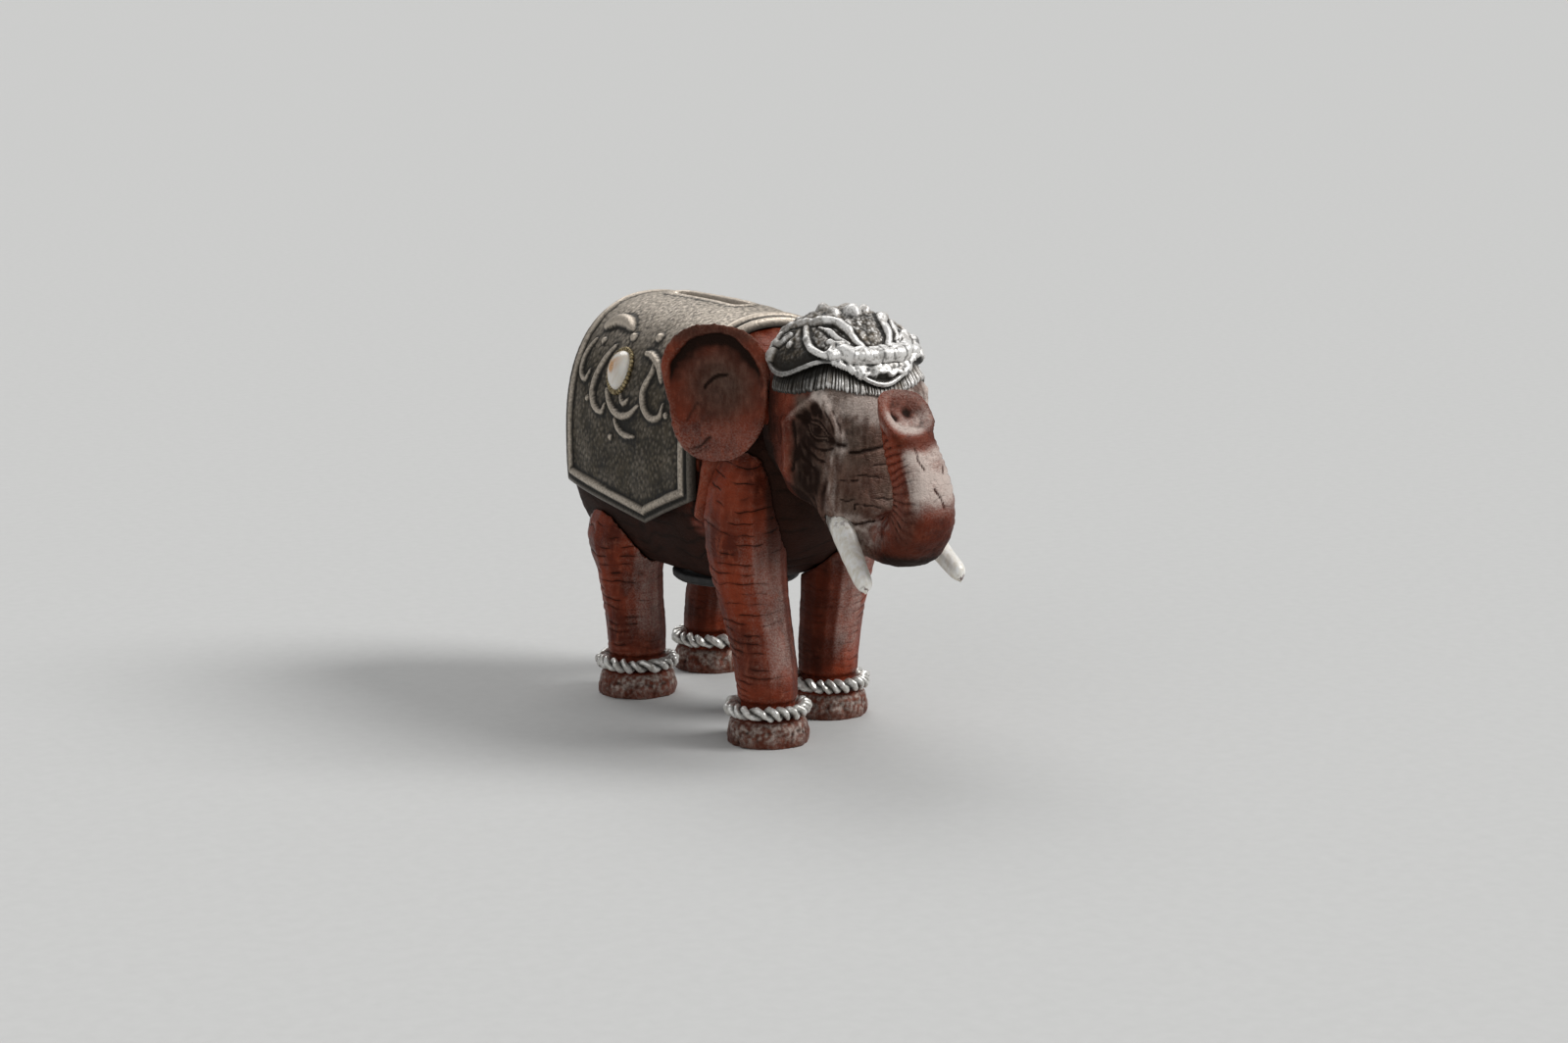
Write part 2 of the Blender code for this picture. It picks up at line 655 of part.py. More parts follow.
def tusk_tube(name, side, grow):
    """A tapering tusk from the bottom of its socket to its tip."""
    root, tip = Vector(TUSK_ROOT), Vector(TUSK_TIP)
    ahead = (tip - root).normalized()
    path, radii = [root - ahead * (TUSK_PEG_LENGTH + grow)], [TUSK_ROOT_RADIUS + grow]
    steps = 6
    for k in range(steps + 1):
        t = k / steps
        path.append(root.lerp(tip, t) - Vector((0, 0, TUSK_DROOP * 4 * t * (1 - t))))
        radii.append(TUSK_ROOT_RADIUS + (TUSK_TIP_RADIUS - TUSK_ROOT_RADIUS) * t + grow)
    path.append(tip + ahead * TUSK_TIP_RADIUS * 0.6)
    radii.append(TUSK_TIP_RADIUS * 0.55 + grow)
    path = [Vector((side * point.x, point.y, point.z)) for point in path]
    return tube(name, path, radii, 12)


def make_tusk(name, side, head):
    tusk = add_object(name, tusk_tube(name, side, 0.0), "bright_silver")
    cut(head, add_object(f"{name}_socket", tusk_tube(f"{name}_socket", side, GLUE_GAP)))
    return tusk


def under_rim(name, drop=0.0):
    """A block that takes away all that lies under the cap's scalloped rim or out past its reach."""
    sides = 48
    inner, rim, wall, bottom = [], [], [], []
    for k in range(sides):
        angle = 2 * math.pi * k / sides
        z = CAP_RIM_FRONT_Z - drop + CAP_RIM_SCALLOP * (1 - math.cos(4 * angle)) / 2
        z += CAP_RIM_REAR_RISE * (1 - math.cos(angle)) / 2
        out = Vector((math.sin(angle), -math.cos(angle), 0))
        middle = Vector((0, CAP_MIDDLE_Y, 0))
        rise = Vector((0, 0, z))
        inner.append(middle + out * CAP_REACH / 2 + rise)
        rim.append(middle + out * CAP_REACH + rise)
        wall.append(middle + out * CAP_REACH * 1.1 + rise * 1.5)
        bottom.append(middle + out * BARREL_WIDTH)
    lid = [point + Vector((0, 0, wall[0].z)) for point in bottom]
    centre = sum(inner, Vector()) / sides
    return add_object(name, loft(name, [bottom, lid, wall, rim, inner, [centre]]))


def cap_reliefs(blank):
    """Rods and bosses half sunk in the cap's face: scrolls on both halves, a leaf and the crown's bosses."""
    corners = [corner.co for corner in blank.vertices]
    face = BVHTree.FromPolygons(corners, [list(polygon.vertices) for polygon in blank.polygons])
    middle = Vector((0, CAP_MIDDLE_Y, CAP_MIDDLE_Z))

    def on_face(turn, height):
        turn, height = math.radians(turn), math.radians(height)
        flat = math.cos(height)
        out = Vector((-math.sin(turn) * flat, -math.cos(turn) * flat, math.sin(height)))
        return face.ray_cast(middle, out)[0]

    reliefs = []
    for k, (radius, places) in enumerate(CAP_SCROLLS):
        for side in (1, -1):
            line = [on_face(side * turn, height) for turn, height in places]
            reliefs.append(scroll(f"cap_scroll_{k}_{side}", line, radius))
    leaf = [on_face(turn, height) for turn, height in CAP_LEAF]
    reliefs.append(scroll("cap_leaf", leaf, CAP_LEAF_RADIUS))
    for k, (radius, place) in enumerate(CAP_BOSSES):
        shape = bmesh.new()
        bmesh.ops.create_icosphere(shape, subdivisions=2, radius=radius)
        bmesh.ops.translate(shape, verts=shape.verts, vec=on_face(*place))
        reliefs.append(add_object(f"cap_boss_{k}", mesh_of(shape, f"cap_boss_{k}")))
    return reliefs


def make_cap(head_grown, barrel_grown):
    """A cast shell with raised scrolls that follows the skull above its scalloped rim."""
    blank = head_solid("head_cap", GLUE_GAP + CAP_THICKNESS)
    cap = add_object("head_cap", blank, "antique_silver")
    join(cap, *cap_reliefs(blank))
    cut(cap, under_rim("under_cap_rim"), head_grown, barrel_grown)
    return cap


# Ears

def ear_frame(side):
    """An ear's root, and the ways outwards along it and forwards off its face."""
    sweep = math.radians(LEFT_EAR_SWEEP if side > 0 else RIGHT_EAR_SWEEP)
    drop = LEFT_EAR_DROP if side > 0 else 0.0
    root = Vector((side * EAR_ROOT[0], EAR_ROOT[1], EAR_ROOT[2] - drop))
    outwards = Vector((side * math.cos(sweep), math.sin(sweep), 0))
    forwards = Vector((side * math.sin(sweep), -math.cos(sweep), 0))
    return root, outwards, forwards


def ear_mesh(name, side):
    """A cupped oval plate, wider above than below, with its upper edge curled forward."""
    root, outwards, forwards = ear_frame(side)
    middle = root + outwards * EAR_INNER_REACH
    half = EAR_THICKNESS / 2
    sides = 28

    def ring(share, lift):
        points = []
        for k in range(sides):
            angle = 2 * math.pi * k / sides
            u = bent_power(math.cos(angle), 0.86) * share
            v = bent_power(math.sin(angle), 0.86) * share
            width = (EAR_OUTER_REACH if u > 0 else EAR_INNER_REACH) * (1 + 0.10 * v)
            height = EAR_TOP_REACH if v > 0 else EAR_BOTTOM_REACH
            cup = EAR_CUP * (u * u + 0.4 * v * v) + EAR_CURL * max(0.0, v - 0.45) ** 2 / 0.3
            point = middle + outwards * (u * width) + Vector((0, 0, v * height))
            points.append(point + forwards * (cup + lift))
        return points

    shares = (0.35, 0.68, 0.9)
    faces = [[middle + forwards * half]]
    faces += [ring(share, half) for share in shares]
    faces.append(ring(1.0, 0.0))
    faces += [ring(share, -half) for share in reversed(shares)]
    faces.append([middle - forwards * half])
    return loft(name, faces)


def ear_tab(name, side, grow):
    """The tongue that holds an ear in its slot in the head."""
    root, outwards, forwards = ear_frame(side)
    across = forwards * (EAR_THICKNESS * 0.4 + grow)
    up = Vector((0, 0, EAR_TAB_HEIGHT / 2 + grow))
    below_root = root + forwards * EAR_CUP * 0.5 - Vector((0, 0, EAR_TAB_HEIGHT / 2))
    start = below_root + outwards * EAR_INNER_REACH * 0.4
    end = below_root - outwards * (EAR_TAB_LENGTH + grow)
    rings = [circle(point, across, up, PEG_SIDES) for point in (start, end)]
    return add_object(name, loft(name, rings))


def make_ear(name, side, head, head_grown, cap_grown):
    ear = add_object(name, ear_mesh(name, side), "resin_skin")
    cut(ear, head_grown, cap_grown)
    join(ear, ear_tab(f"{name}_tab", side, 0.0))
    cut(head, ear_tab(f"{name}_slot", side, GLUE_GAP))
    return ear


# Tail

def make_tail(barrel):
    """A tail that hangs down the rump to a tuft, held by its root in a socket."""
    seat = barrel_end_y(TAIL_ROOT_Z, 1)
    stand_off = BARREL_MIDDLE_Y + BARREL_LENGTH / 2 + TAIL_TUFT_RADIUS + GLUE_GAP
    tuft_z = TAIL_TIP_Z + TAIL_TUFT_LENGTH
    root = Vector((0, seat - TAIL_PEG_DEPTH, TAIL_ROOT_Z))
    keys = [
        (0.0, (root.y, root.z, TAIL_ROOT_RADIUS)),
        (0.15, (seat + TAIL_ROOT_RADIUS * 0.8, TAIL_ROOT_Z - TAIL_ROOT_RADIUS * 0.2, TAIL_ROOT_RADIUS)),
        (0.3, (stand_off, TAIL_ROOT_Z - TAIL_ROOT_RADIUS * 2.6, TAIL_ROOT_RADIUS * 0.95)),
        (0.7, (stand_off, tuft_z, TAIL_TIP_RADIUS)),
        (0.85, (stand_off, (tuft_z + TAIL_TIP_Z) / 2, TAIL_TUFT_RADIUS)),
        (1.0, (stand_off, TAIL_TIP_Z, TAIL_TIP_RADIUS * 0.4)),
    ]
    steps = 16
    path, radii = [], []
    for k in range(steps + 1):
        y, z, radius = smooth_through(keys, k / steps)
        path.append(Vector((0, y, z)))
        radii.append(radius)
    tail = add_object("tail", tube("tail", path, radii, 10), "resin_skin")
    end = root + Vector((0, 3 * TAIL_PEG_DEPTH, 0))
    bottom = root - Vector((0, GLUE_GAP, 0))
    cut(barrel, peg("tail_socket", bottom, end, TAIL_ROOT_RADIUS + GLUE_GAP))
    return tail


# Saddle cloth and its stones

def cloth_edge_z(y):
    """Height of the cloth's lower edge: two straight runs that meet in a point."""
    if y < CLOTH_POINT_Y:
        corner_y, corner_z = CLOTH_FRONT_Y, CLOTH_FRONT_CORNER_Z
    else:
        corner_y, corner_z = CLOTH_REAR_Y, CLOTH_REAR_CORNER_Z
    share = (y - CLOTH_POINT_Y) / (corner_y - CLOTH_POINT_Y)
    return CLOTH_POINT_Z + (corner_z - CLOTH_POINT_Z) * share


def bordered_steps(length, border, count):
    """Shares of a length that mark a border at each end, its inner step, and even steps between."""
    step = border * 1.25
    inner = [step + (length - 2 * step) * k / count for k in range(count + 1)]
    return [x / length for x in (0.0, border, *inner, length - border, length)]


def cloth_scrolls():
    """Rods half sunk in the face of the cloth's two side panels."""
    face = GLUE_GAP + CLOTH_THICKNESS
    made = []
    for k, (radius, places) in enumerate(CLOTH_SCROLLS):
        line = [
            barrel_point(y, barrel_angle(y, BARREL_MIDDLE_Z + rise, face), face) for y, rise in places
        ]
        for side in (1, -1):
            mirrored = [Vector((side * place.x, place.y, place.z)) for place in line]
            made.append(scroll(f"cloth_scroll_{k}_{side}", mirrored, radius))
    return made


def make_saddle_cloth(slot):
    """A cast shell over the barrel's back, with scrolls and a raised border on both panels."""
    around = bordered_steps(BARREL_HEIGHT * 2, CLOTH_BORDER_WIDTH, 16)
    along = bordered_steps(CLOTH_REAR_Y - CLOTH_FRONT_Y, CLOTH_BORDER_WIDTH, 11)
    rows_out, rows_in = [], []
    for i, share_y in enumerate(along):
        y = CLOTH_FRONT_Y + (CLOTH_REAR_Y - CLOTH_FRONT_Y) * share_y
        edge = barrel_angle(y, cloth_edge_z(y), GLUE_GAP)
        row_out, row_in = [], []
        for j, share in enumerate(around):
            angle = edge + (math.pi - 2 * edge) * share
            on_border = min(i, j, len(along) - 1 - i, len(around) - 1 - j) < 2
            rise = CLOTH_THICKNESS + (CLOTH_BORDER_HEIGHT if on_border else 0.0)
            row_out.append(barrel_point(y, angle, GLUE_GAP + rise))
            row_in.append(barrel_point(y, angle, GLUE_GAP))
        rows_out.append(row_out)
        rows_in.append(row_in)
    rings = [outer + inner[::-1] for outer, inner in zip(rows_out, rows_in)]
    shape = bmesh.new()
    rows = [[shape.verts.new(point) for point in ring] for ring in rings]
    for row, following in zip(rows, rows[1:]):
        for k in range(len(row)):
            j = (k + 1) % len(row)
            shape.faces.new((row[k], row[j], following[j], following[k]))
    for row in (rows[0], rows[-1]):
        for k in range(len(row) // 2 - 1):
            shape.faces.new((row[k], row[k + 1], row[-2 - k], row[-1 - k]))
    cloth = add_object("saddle_cloth", mesh_of(shape, "saddle_cloth"), "antique_silver")
    cut(cloth, slot)
    join(cloth, *cloth_scrolls())
    return cloth


def make_stone(name, side):
    """An oval domed stone, hollowed at the back to sit on the cloth's side panel."""
    surface = GLUE_GAP + CLOTH_THICKNESS
    angle = barrel_angle(STONE_Y, STONE_Z, surface)
    seat = barrel_point(STONE_Y, angle, surface)
    above = barrel_point(STONE_Y, angle + 0.05, surface)
    up = (above - seat).normalized()
    ahead = Vector((0, 1, 0))
    out = ahead.cross(up).normalized()
    out = out if out.x > 0 else -out
    levels = 6
    rings = [[seat - out * STONE_RISE]]
    for k in range(1, 2 * levels):
        turn = math.pi * k / (2 * levels)
        middle = seat - out * STONE_RISE * math.cos(turn)
        across, tall = ahead * STONE_WIDTH / 2 * math.sin(turn), up * STONE_HEIGHT / 2 * math.sin(turn)
        rings.append(circle(middle, across, tall, 20))
    rings.append([seat + out * STONE_RISE])
    rings = [[Vector((side * p.x, p.y, p.z)) for p in ring] for ring in rings]
    stone = add_object(name, loft(name, rings), "pearl_stone")
    backing = barrel_solid(f"{name}_backing", 2 * GLUE_GAP + CLOTH_THICKNESS, BARREL_RINGS, BARREL_SIDES)
    cut(stone, add_object(f"{name}_backing", backing))
    return stone


# The whole bank

def stand_on_origin(root):
    """Moves the bank so that the middle of its box stands on the origin."""
    bpy.context.view_layer.update()
    graph = bpy.context.evaluated_depsgraph_get()
    corners = []
    for child in root.children:
        if not child.hide_render:
            evaluated = child.evaluated_get(graph)
            corners += [evaluated.matrix_world @ Vector(corner) for corner in evaluated.bound_box]
    lows = [min(corner[k] for corner in corners) for k in range(3)]
    highs = [max(corner[k] for corner in corners) for k in range(3)]
    root.location = (-(lows[0] + highs[0]) / 2, -(lows[1] + highs[1]) / 2, -lows[2])


def main():
    remove_everything()
    grown = barrel_solid("barrel_grown", GLUE_GAP, BARREL_RINGS, BARREL_SIDES)
    barrel_grown = add_object("barrel_grown", grown)
    cut(barrel_grown, below("belly_plane_grown", BELLY_FLAT_Z - GLUE_GAP))
    head_grown = add_object("head_grown", head_solid("head_grown", GLUE_GAP))
    cap_grow = 2 * GLUE_GAP + CAP_THICKNESS
    cap_grown = add_object("cap_grown", head_solid("cap_grown", cap_grow))
    cut(cap_grown, under_rim("under_cap_grown", GLUE_GAP))

    barrel = make_barrel()
    slot = coin_slot_cutter()
    cut(barrel, slot)
    make_saddle_cloth(slot)
    head = make_head(barrel, barrel_grown)
    make_cap(head_grown, barrel_grown)
    anklet = anklet_mesh()
    for side, hand in ((1, "left"), (-1, "right")):
        for front, end in ((True, "front"), (False, "hind")):
            make_leg(f"{hand}_{end}_leg", front, side, barrel, barrel_grown)
            make_anklet(f"{hand}_{end}_anklet", anklet, front, side)
        make_tusk(f"{hand}_tusk", side, head)
        make_ear(f"{hand}_ear", side, head, head_grown, cap_grown)
        make_stone(f"{hand}_stone", side)
    make_tail(barrel)
    make_stopper()

    root = bpy.data.objects.new("elephant", None)
    pieces = list(bpy.context.scene.collection.objects)
    bpy.context.scene.collection.objects.link(root)
    for piece in pieces:
        piece.parent = root
    stand_on_origin(root)


main()
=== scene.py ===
import json
import math

import bpy
import numpy as np
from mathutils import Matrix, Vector, noise
from mathutils.bvhtree import BVHTree


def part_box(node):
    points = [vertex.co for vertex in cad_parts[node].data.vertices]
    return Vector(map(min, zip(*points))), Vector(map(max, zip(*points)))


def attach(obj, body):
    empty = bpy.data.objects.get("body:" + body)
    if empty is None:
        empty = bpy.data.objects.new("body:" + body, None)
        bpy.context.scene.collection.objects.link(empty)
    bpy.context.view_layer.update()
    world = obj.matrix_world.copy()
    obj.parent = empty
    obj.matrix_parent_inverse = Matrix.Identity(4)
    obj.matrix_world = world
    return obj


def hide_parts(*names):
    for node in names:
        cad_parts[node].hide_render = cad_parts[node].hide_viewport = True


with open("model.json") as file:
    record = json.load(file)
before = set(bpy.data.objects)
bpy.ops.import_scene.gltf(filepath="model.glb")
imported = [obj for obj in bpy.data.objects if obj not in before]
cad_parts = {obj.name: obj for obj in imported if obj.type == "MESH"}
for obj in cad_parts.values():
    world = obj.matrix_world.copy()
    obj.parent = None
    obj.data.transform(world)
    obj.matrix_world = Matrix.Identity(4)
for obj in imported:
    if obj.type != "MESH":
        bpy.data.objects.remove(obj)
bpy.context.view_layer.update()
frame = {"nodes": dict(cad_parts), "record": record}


# Studio. The camera stands off the elephant's right shoulder, a little above its head, and looks slightly
# down. A broad soft lamp on the right and weaker ones on the left and behind light it on a plain pale floor.

low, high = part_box("barrel")
UNDER_BODY = np.array(((low.x + high.x) / 2, (low.y + high.y) / 2 - 0.0065, 0.0))
VIEW_TURN, VIEW_DIP = math.radians(-32), math.radians(10.5)
PICTURE_WIDTH, FOCAL_PIXELS = 1600, 3359.0


def placed(x, y, z):
    """A place in the model's metres, given in millimetres from the spot on the floor under the body."""
    return Vector(UNDER_BODY + np.array((x, y, z)) / 1000)


def link_in(name, data):
    made = bpy.data.objects.new(name, data)
    bpy.context.scene.collection.objects.link(made)
    return made


camera = link_in("photograph_camera", bpy.data.cameras.new("photograph_camera"))
camera.data.sensor_width = 36.0
camera.data.lens = FOCAL_PIXELS * 36.0 / PICTURE_WIDTH
camera.data.clip_start = 0.02
camera.data.clip_end = 50.0
camera.location = placed(-413.0, -684.2, 193.6)
camera.rotation_euler = (math.pi / 2 - VIEW_DIP, 0.0, VIEW_TURN)
bpy.context.scene.camera = camera
bpy.context.scene.view_settings.view_transform = "Standard"


def paint(name):
    """A new material with its node tree and its main shader."""
    made = bpy.data.materials.new(name)
    made.use_nodes = True
    return made, made.node_tree, made.node_tree.nodes["Principled BSDF"]


def wire(tree, kind, *values, **settings):
    """Adds a shader node and gives its first output. Values fill its sockets, and None leaves one be."""
    made = tree.nodes.new(f"ShaderNode{kind}")
    for key, value in settings.items():
        setattr(made, key, value)
    for socket, value in zip(made.inputs, values):
        if isinstance(value, bpy.types.NodeSocket):
            tree.links.new(value, socket)
        elif value is not None:
            socket.default_value = value
    return made.outputs[0]


def fill(tree, node, sockets):
    """Fills a node's named sockets with values, or with what other nodes give."""
    for name, value in sockets.items():
        if isinstance(value, bpy.types.NodeSocket):
            tree.links.new(value, node.inputs[name])
        else:
            node.inputs[name].default_value = value


def mix(tree, share, first, second):
    return wire(tree, "MixRGB", share, first, second)


def own_places(tree, stretch=None):
    """The piece's own coordinates, stretched if asked."""
    spots = wire(tree, "TexCoord").node.outputs["Object"]
    return spots if stretch is None else wire(tree, "VectorMath", spots, stretch, operation="MULTIPLY")


def grain_of(tree, scale, detail, roughness=0.5, stretch=None):
    """A cloudy value over the piece, finer with the scale."""
    return wire(tree, "TexNoise", own_places(tree, stretch), None, scale, detail, roughness)


def colour(red, green, blue):
    return (red, green, blue, 1.0)


floor_mesh = bpy.data.meshes.new("studio_floor")
corners = [(-9, -9, 0), (9, -9, 0), (9, 9, 0), (-9, 9, 0)]
floor_mesh.from_pydata(corners, [], [(0, 1, 2, 3)])
floor_paint, tree, shader = paint("pale_floor")
tone = mix(tree, grain_of(tree, 300.0, 3.0), colour(0.52, 0.52, 0.51), colour(0.57, 0.57, 0.56))
fill(tree, shader, {"Base Color": tone, "Roughness": 0.9})
floor_mesh.materials.append(floor_paint)
link_in("studio_floor", floor_mesh)

world = bpy.data.worlds.new("studio_room")
world.use_nodes = True
backdrop = world.node_tree.nodes["Background"]
fill(world.node_tree, backdrop, {"Color": colour(0.80, 0.81, 0.82), "Strength": 0.34})
bpy.context.scene.world = world

for name, way, breadth, power in (
    ("lamp_right", (0.62, -0.46, 0.68), 28.0, 2.3),
    ("lamp_behind", (0.15, 0.55, 0.82), 45.0, 1.1),
    ("lamp_left", (-0.80, -0.35, 0.45), 50.0, 0.30),
):
    lamp = link_in(name, bpy.data.lights.new(name, "SUN"))
    lamp.data.angle = math.radians(breadth)
    lamp.data.energy = power
    lamp.rotation_euler = Vector(way).to_track_quat("Z", "Y").to_euler()


# Barrel. The hollow body casting that holds the coins: resin painted red-brown, with a dark wash in its
# folds and a dusty brushing on its high spots. Flank creases are modelled into it, and a flap of loose skin
# hangs behind each foreleg. Painted shade darkens the belly and chest, and a painted highlight the flap.

SKIN_GRAIN = 0.85
BODY_MIDDLE_Y, BODY_MIDDLE_Z = 6.5, 65.0
SKIN_FLAP = [(20.6, -23.5, 67.0), (21.0, -22.2, 62.0), (21.0, -20.8, 56.0), (20.8, -18.8, 50.5)]


def evened(node, name, grain, rounds):
    """A copy of a solid in small even faces of about grain millimetres, with its facets eased away."""
    mesh = frame["nodes"][node].data.copy()
    mesh.materials.clear()
    piece = link_in(name, mesh)
    even = piece.modifiers.new("even_faces", "REMESH")
    even.mode = "VOXEL"
    even.voxel_size = grain / 1000
    graph = bpy.context.evaluated_depsgraph_get()
    piece.data = bpy.data.meshes.new_from_object(piece.evaluated_get(graph))
    piece.modifiers.clear()
    piece.data.name = name
    piece.data.shade_smooth()
    put_points(piece, eased(piece, points_of(piece), rounds))
    return piece


def points_of(piece):
    """The piece's points in millimetres from the spot under the body."""
    flat = np.empty(len(piece.data.vertices) * 3)
    piece.data.vertices.foreach_get("co", flat)
    return (flat.reshape(-1, 3) - UNDER_BODY) * 1000


def put_points(piece, points):
    piece.data.vertices.foreach_set("co", (points / 1000 + UNDER_BODY).ravel())
    piece.data.update()


def normals_of(piece):
    flat = np.empty(len(piece.data.vertices) * 3)
    piece.data.vertex_normals.foreach_get("vector", flat)
    return flat.reshape(-1, 3)


def drawn_in(piece, values, rounds, steps=(0.5,)):
    """Values at the piece's points, each moved towards the mean of its neighbours by each step in turn."""
    ends = np.empty(len(piece.data.edges) * 2, int)
    piece.data.edges.foreach_get("vertices", ends)
    a, b = np.concatenate((ends[::2], ends[1::2])), np.concatenate((ends[1::2], ends[::2]))
    count = len(values)
    near = np.maximum(np.bincount(a, minlength=count), 1)[:, None]
    for step in steps * rounds:
        mean = np.stack([np.bincount(a, column[b], count) for column in values.T], 1) / near
        values = values + step * (mean - values)
    return values


def eased(piece, points, rounds):
    """Points drawn in and let out again, which takes facets away and keeps the size."""
    return drawn_in(piece, points, rounds, (0.5, -0.52))


def on_left(points):
    """The points, with those of the right side mirrored to the left."""
    return points * (np.sign(points[:, :1]) * (1, 0, 0) + (0, 1, 1))


def mottle(points, size, seed=0.0):
    """Cloudy values from about -1 to 1 at points, in spots of this size, or sizes, in millimetres."""
    return np.array([noise.noise(place) for place in points / np.asarray(size) + seed * 17.3])


def ramp(values, start, end):
    """A smooth step from 0 at start to 1 at end."""
    t = np.clip((values - start) / (end - start), 0, 1)
    return t * t * (3 - 2 * t)


def flowing(path, count):
    """A smooth line of count places through the given ones."""
    path = np.asarray(path, float)
    path = np.concatenate((2 * path[:1] - path[1:2], path, 2 * path[-1:] - path[-2:-1]))
    places = []
    for t in np.linspace(0, len(path) - 3 - 1e-6, count):
        k, t = int(t), t % 1
        a, b, c, d = path[k:k + 4]
        places.append(b + (c - a) * t / 2 + (a - 2.5 * b + 2 * c - d / 2) * t**2
                      + (1.5 * (b - c) + (d - a) / 2) * t**3)
    return np.array(places)


def from_path(points, path):
    """Each point's distance from a line of places, and where its nearest spot lies along it, from 0 to 1."""
    best, share = np.full(len(points), 1e9), np.zeros(len(points))
    lengths = np.linalg.norm(np.diff(path, axis=0), axis=1)
    starts = np.concatenate(([0.0], np.cumsum(lengths)))
    for k, length in enumerate(lengths):
        ahead = path[k + 1] - path[k]
        t = np.clip((points - path[k]) @ ahead / max(ahead @ ahead, 1e-9), 0, 1)
        away = np.linalg.norm(points - path[k] - t[:, None] * ahead, axis=1)
        nearer = away < best
        best[nearer] = away[nearer]
        share[nearer] = (starts[k] + t[nearer] * length) / starts[-1]
    return best, share


def bell(values, width):
    """A bell curve: 1 at 0, and small past the width."""
    return np.exp(-(values / width) ** 2)


def ridge_along(points, path, width, height):
    """How far a ridge along a line, or a groove with a negative height, lifts each point. Its ends fade."""
    away, share = from_path(points, flowing(path, 6 * len(path)))
    return height * bell(away, width) * ramp(np.minimum(share, 1 - share), -0.02, 0.12)


def swell(points, place, reach, height):
    """How far a round swell, or a hollow with a negative height, lifts each point."""
    return height * bell(np.linalg.norm(points - np.array(place), axis=1), reach)


def mark(piece, name, values):
    made = piece.data.attributes.new(name, "FLOAT", "POINT")
    made.data.foreach_set("value", np.asarray(values, np.float32))


def stands_out(piece, rounds):
    """How far each point stands out from its surroundings, in millimetres. Hollows are negative."""
    points = points_of(piece)
    return ((points - drawn_in(piece, points, rounds)) * normals_of(piece)).sum(1)


def skin_marks(piece, painted_shade_and_wash=0.0, greyed=0.0, dust_and_sheen=0.0, phase=0.0, folds=0.0):
    """Marks that the skin's paint follows: hollows hold the dark wash, ridges catch the dry brush, and the
    given marks add painted shade, grey paint, and dust with painted sheen.
    """
    still = np.zeros(len(piece.data.vertices))
    fine, broad = stands_out(piece, 5), stands_out(piece, 50)
    hollow = np.clip(-fine / 0.10, 0, 1) * 0.6 + np.clip(-broad / 0.45, 0, 1) * 0.6 + painted_shade_and_wash
    mark(piece, "wash_and_shade", np.clip(hollow, 0, 1))
    mark(piece, "on_ridge", np.clip((fine - 0.012) / 0.06, 0, 1))
    mark(piece, "greyed", still + np.clip(greyed, 0, 1))
    mark(piece, "dust_and_sheen", still + np.clip(dust_and_sheen, 0, 1))
    mark(piece, "fold_phase", still + phase)
    mark(piece, "fold_depth", still + np.clip(folds, 0, 1))


def marked(tree, name):
    return wire(tree, "Attribute", attribute_name=name).node.outputs["Fac"]


def math_of(tree, operation, *values):
    return wire(tree, "Math", *values, operation=operation)


def ranged(tree, *values):
    """A value taken from one range to another, held within it."""
    return wire(tree, "MapRange", *values)


def raise_bump(tree, shader, height, distance, strength=1.0, under=None):
    """Joins a height to the shader's normal as bumps of this size in metres."""
    bump = wire(tree, "Bump").node
    fill(tree, bump, {"Strength": strength, "Distance": distance, "Height": height})
    if under is not None:
        fill(tree, bump, {"Normal": under})
    fill(tree, shader, {"Normal": bump.outputs[0]})
    return bump.outputs[0]


skin, tree, shader = paint("painted_skin")
clouds = grain_of(tree, 95.0, 3.0, 0.55)
brushing = grain_of(tree, 620.0, 4.0, 0.65, (1.0, 1.0, 0.45))
specks = grain_of(tree, 2300.0, 3.0, 0.6)
creases = wire(tree, "TexVoronoi", own_places(tree, (0.55, 0.55, 1.5)), None, 900.0,
               feature="DISTANCE_TO_EDGE")
red = mix(tree, ranged(tree, clouds, 0.36, 0.64), colour(0.085, 0.011, 0.004), colour(0.24, 0.036, 0.012))
red = mix(tree, ranged(tree, brushing, 0.52, 0.80), red, colour(0.30, 0.068, 0.032))
grey = mix(tree, ranged(tree, brushing, 0.35, 0.70), colour(0.046, 0.030, 0.022),
           colour(0.165, 0.118, 0.092))
worn = math_of(tree, "MULTIPLY", marked(tree, "greyed"), ranged(tree, clouds, 0.25, 0.6, 0.6, 1.0))
tone = mix(tree, worn, red, grey)
caught = math_of(tree, "MULTIPLY", marked(tree, "on_ridge"), ranged(tree, specks, 0.40, 0.62))
tone = mix(tree, math_of(tree, "MULTIPLY", caught, 0.35), tone, colour(0.33, 0.19, 0.14))
# This share paints the dust and the painted sheen that the dust mark carries.
dust_and_sheen_share = math_of(tree, "MULTIPLY_ADD", specks, 0.6, -0.36)
dust_and_sheen_share = math_of(tree, "MULTIPLY_ADD", marked(tree, "dust_and_sheen"), 0.55, dust_and_sheen_share)
dust_and_sheen_share = math_of(tree, "MULTIPLY", ranged(tree, dust_and_sheen_share, -0.08, 0.34),
                 ranged(tree, marked(tree, "dust_and_sheen"), 0.0, 0.45, 0.0, 0.88))
tone = mix(tree, dust_and_sheen_share, tone, colour(0.62, 0.53, 0.475))
ripples = math_of(tree, "PINGPONG", marked(tree, "fold_phase"), 0.5)
line = ranged(tree, ripples, 0.012, 0.062, 1.0, 0.0)
line = math_of(tree, "MULTIPLY", line, marked(tree, "fold_depth"))
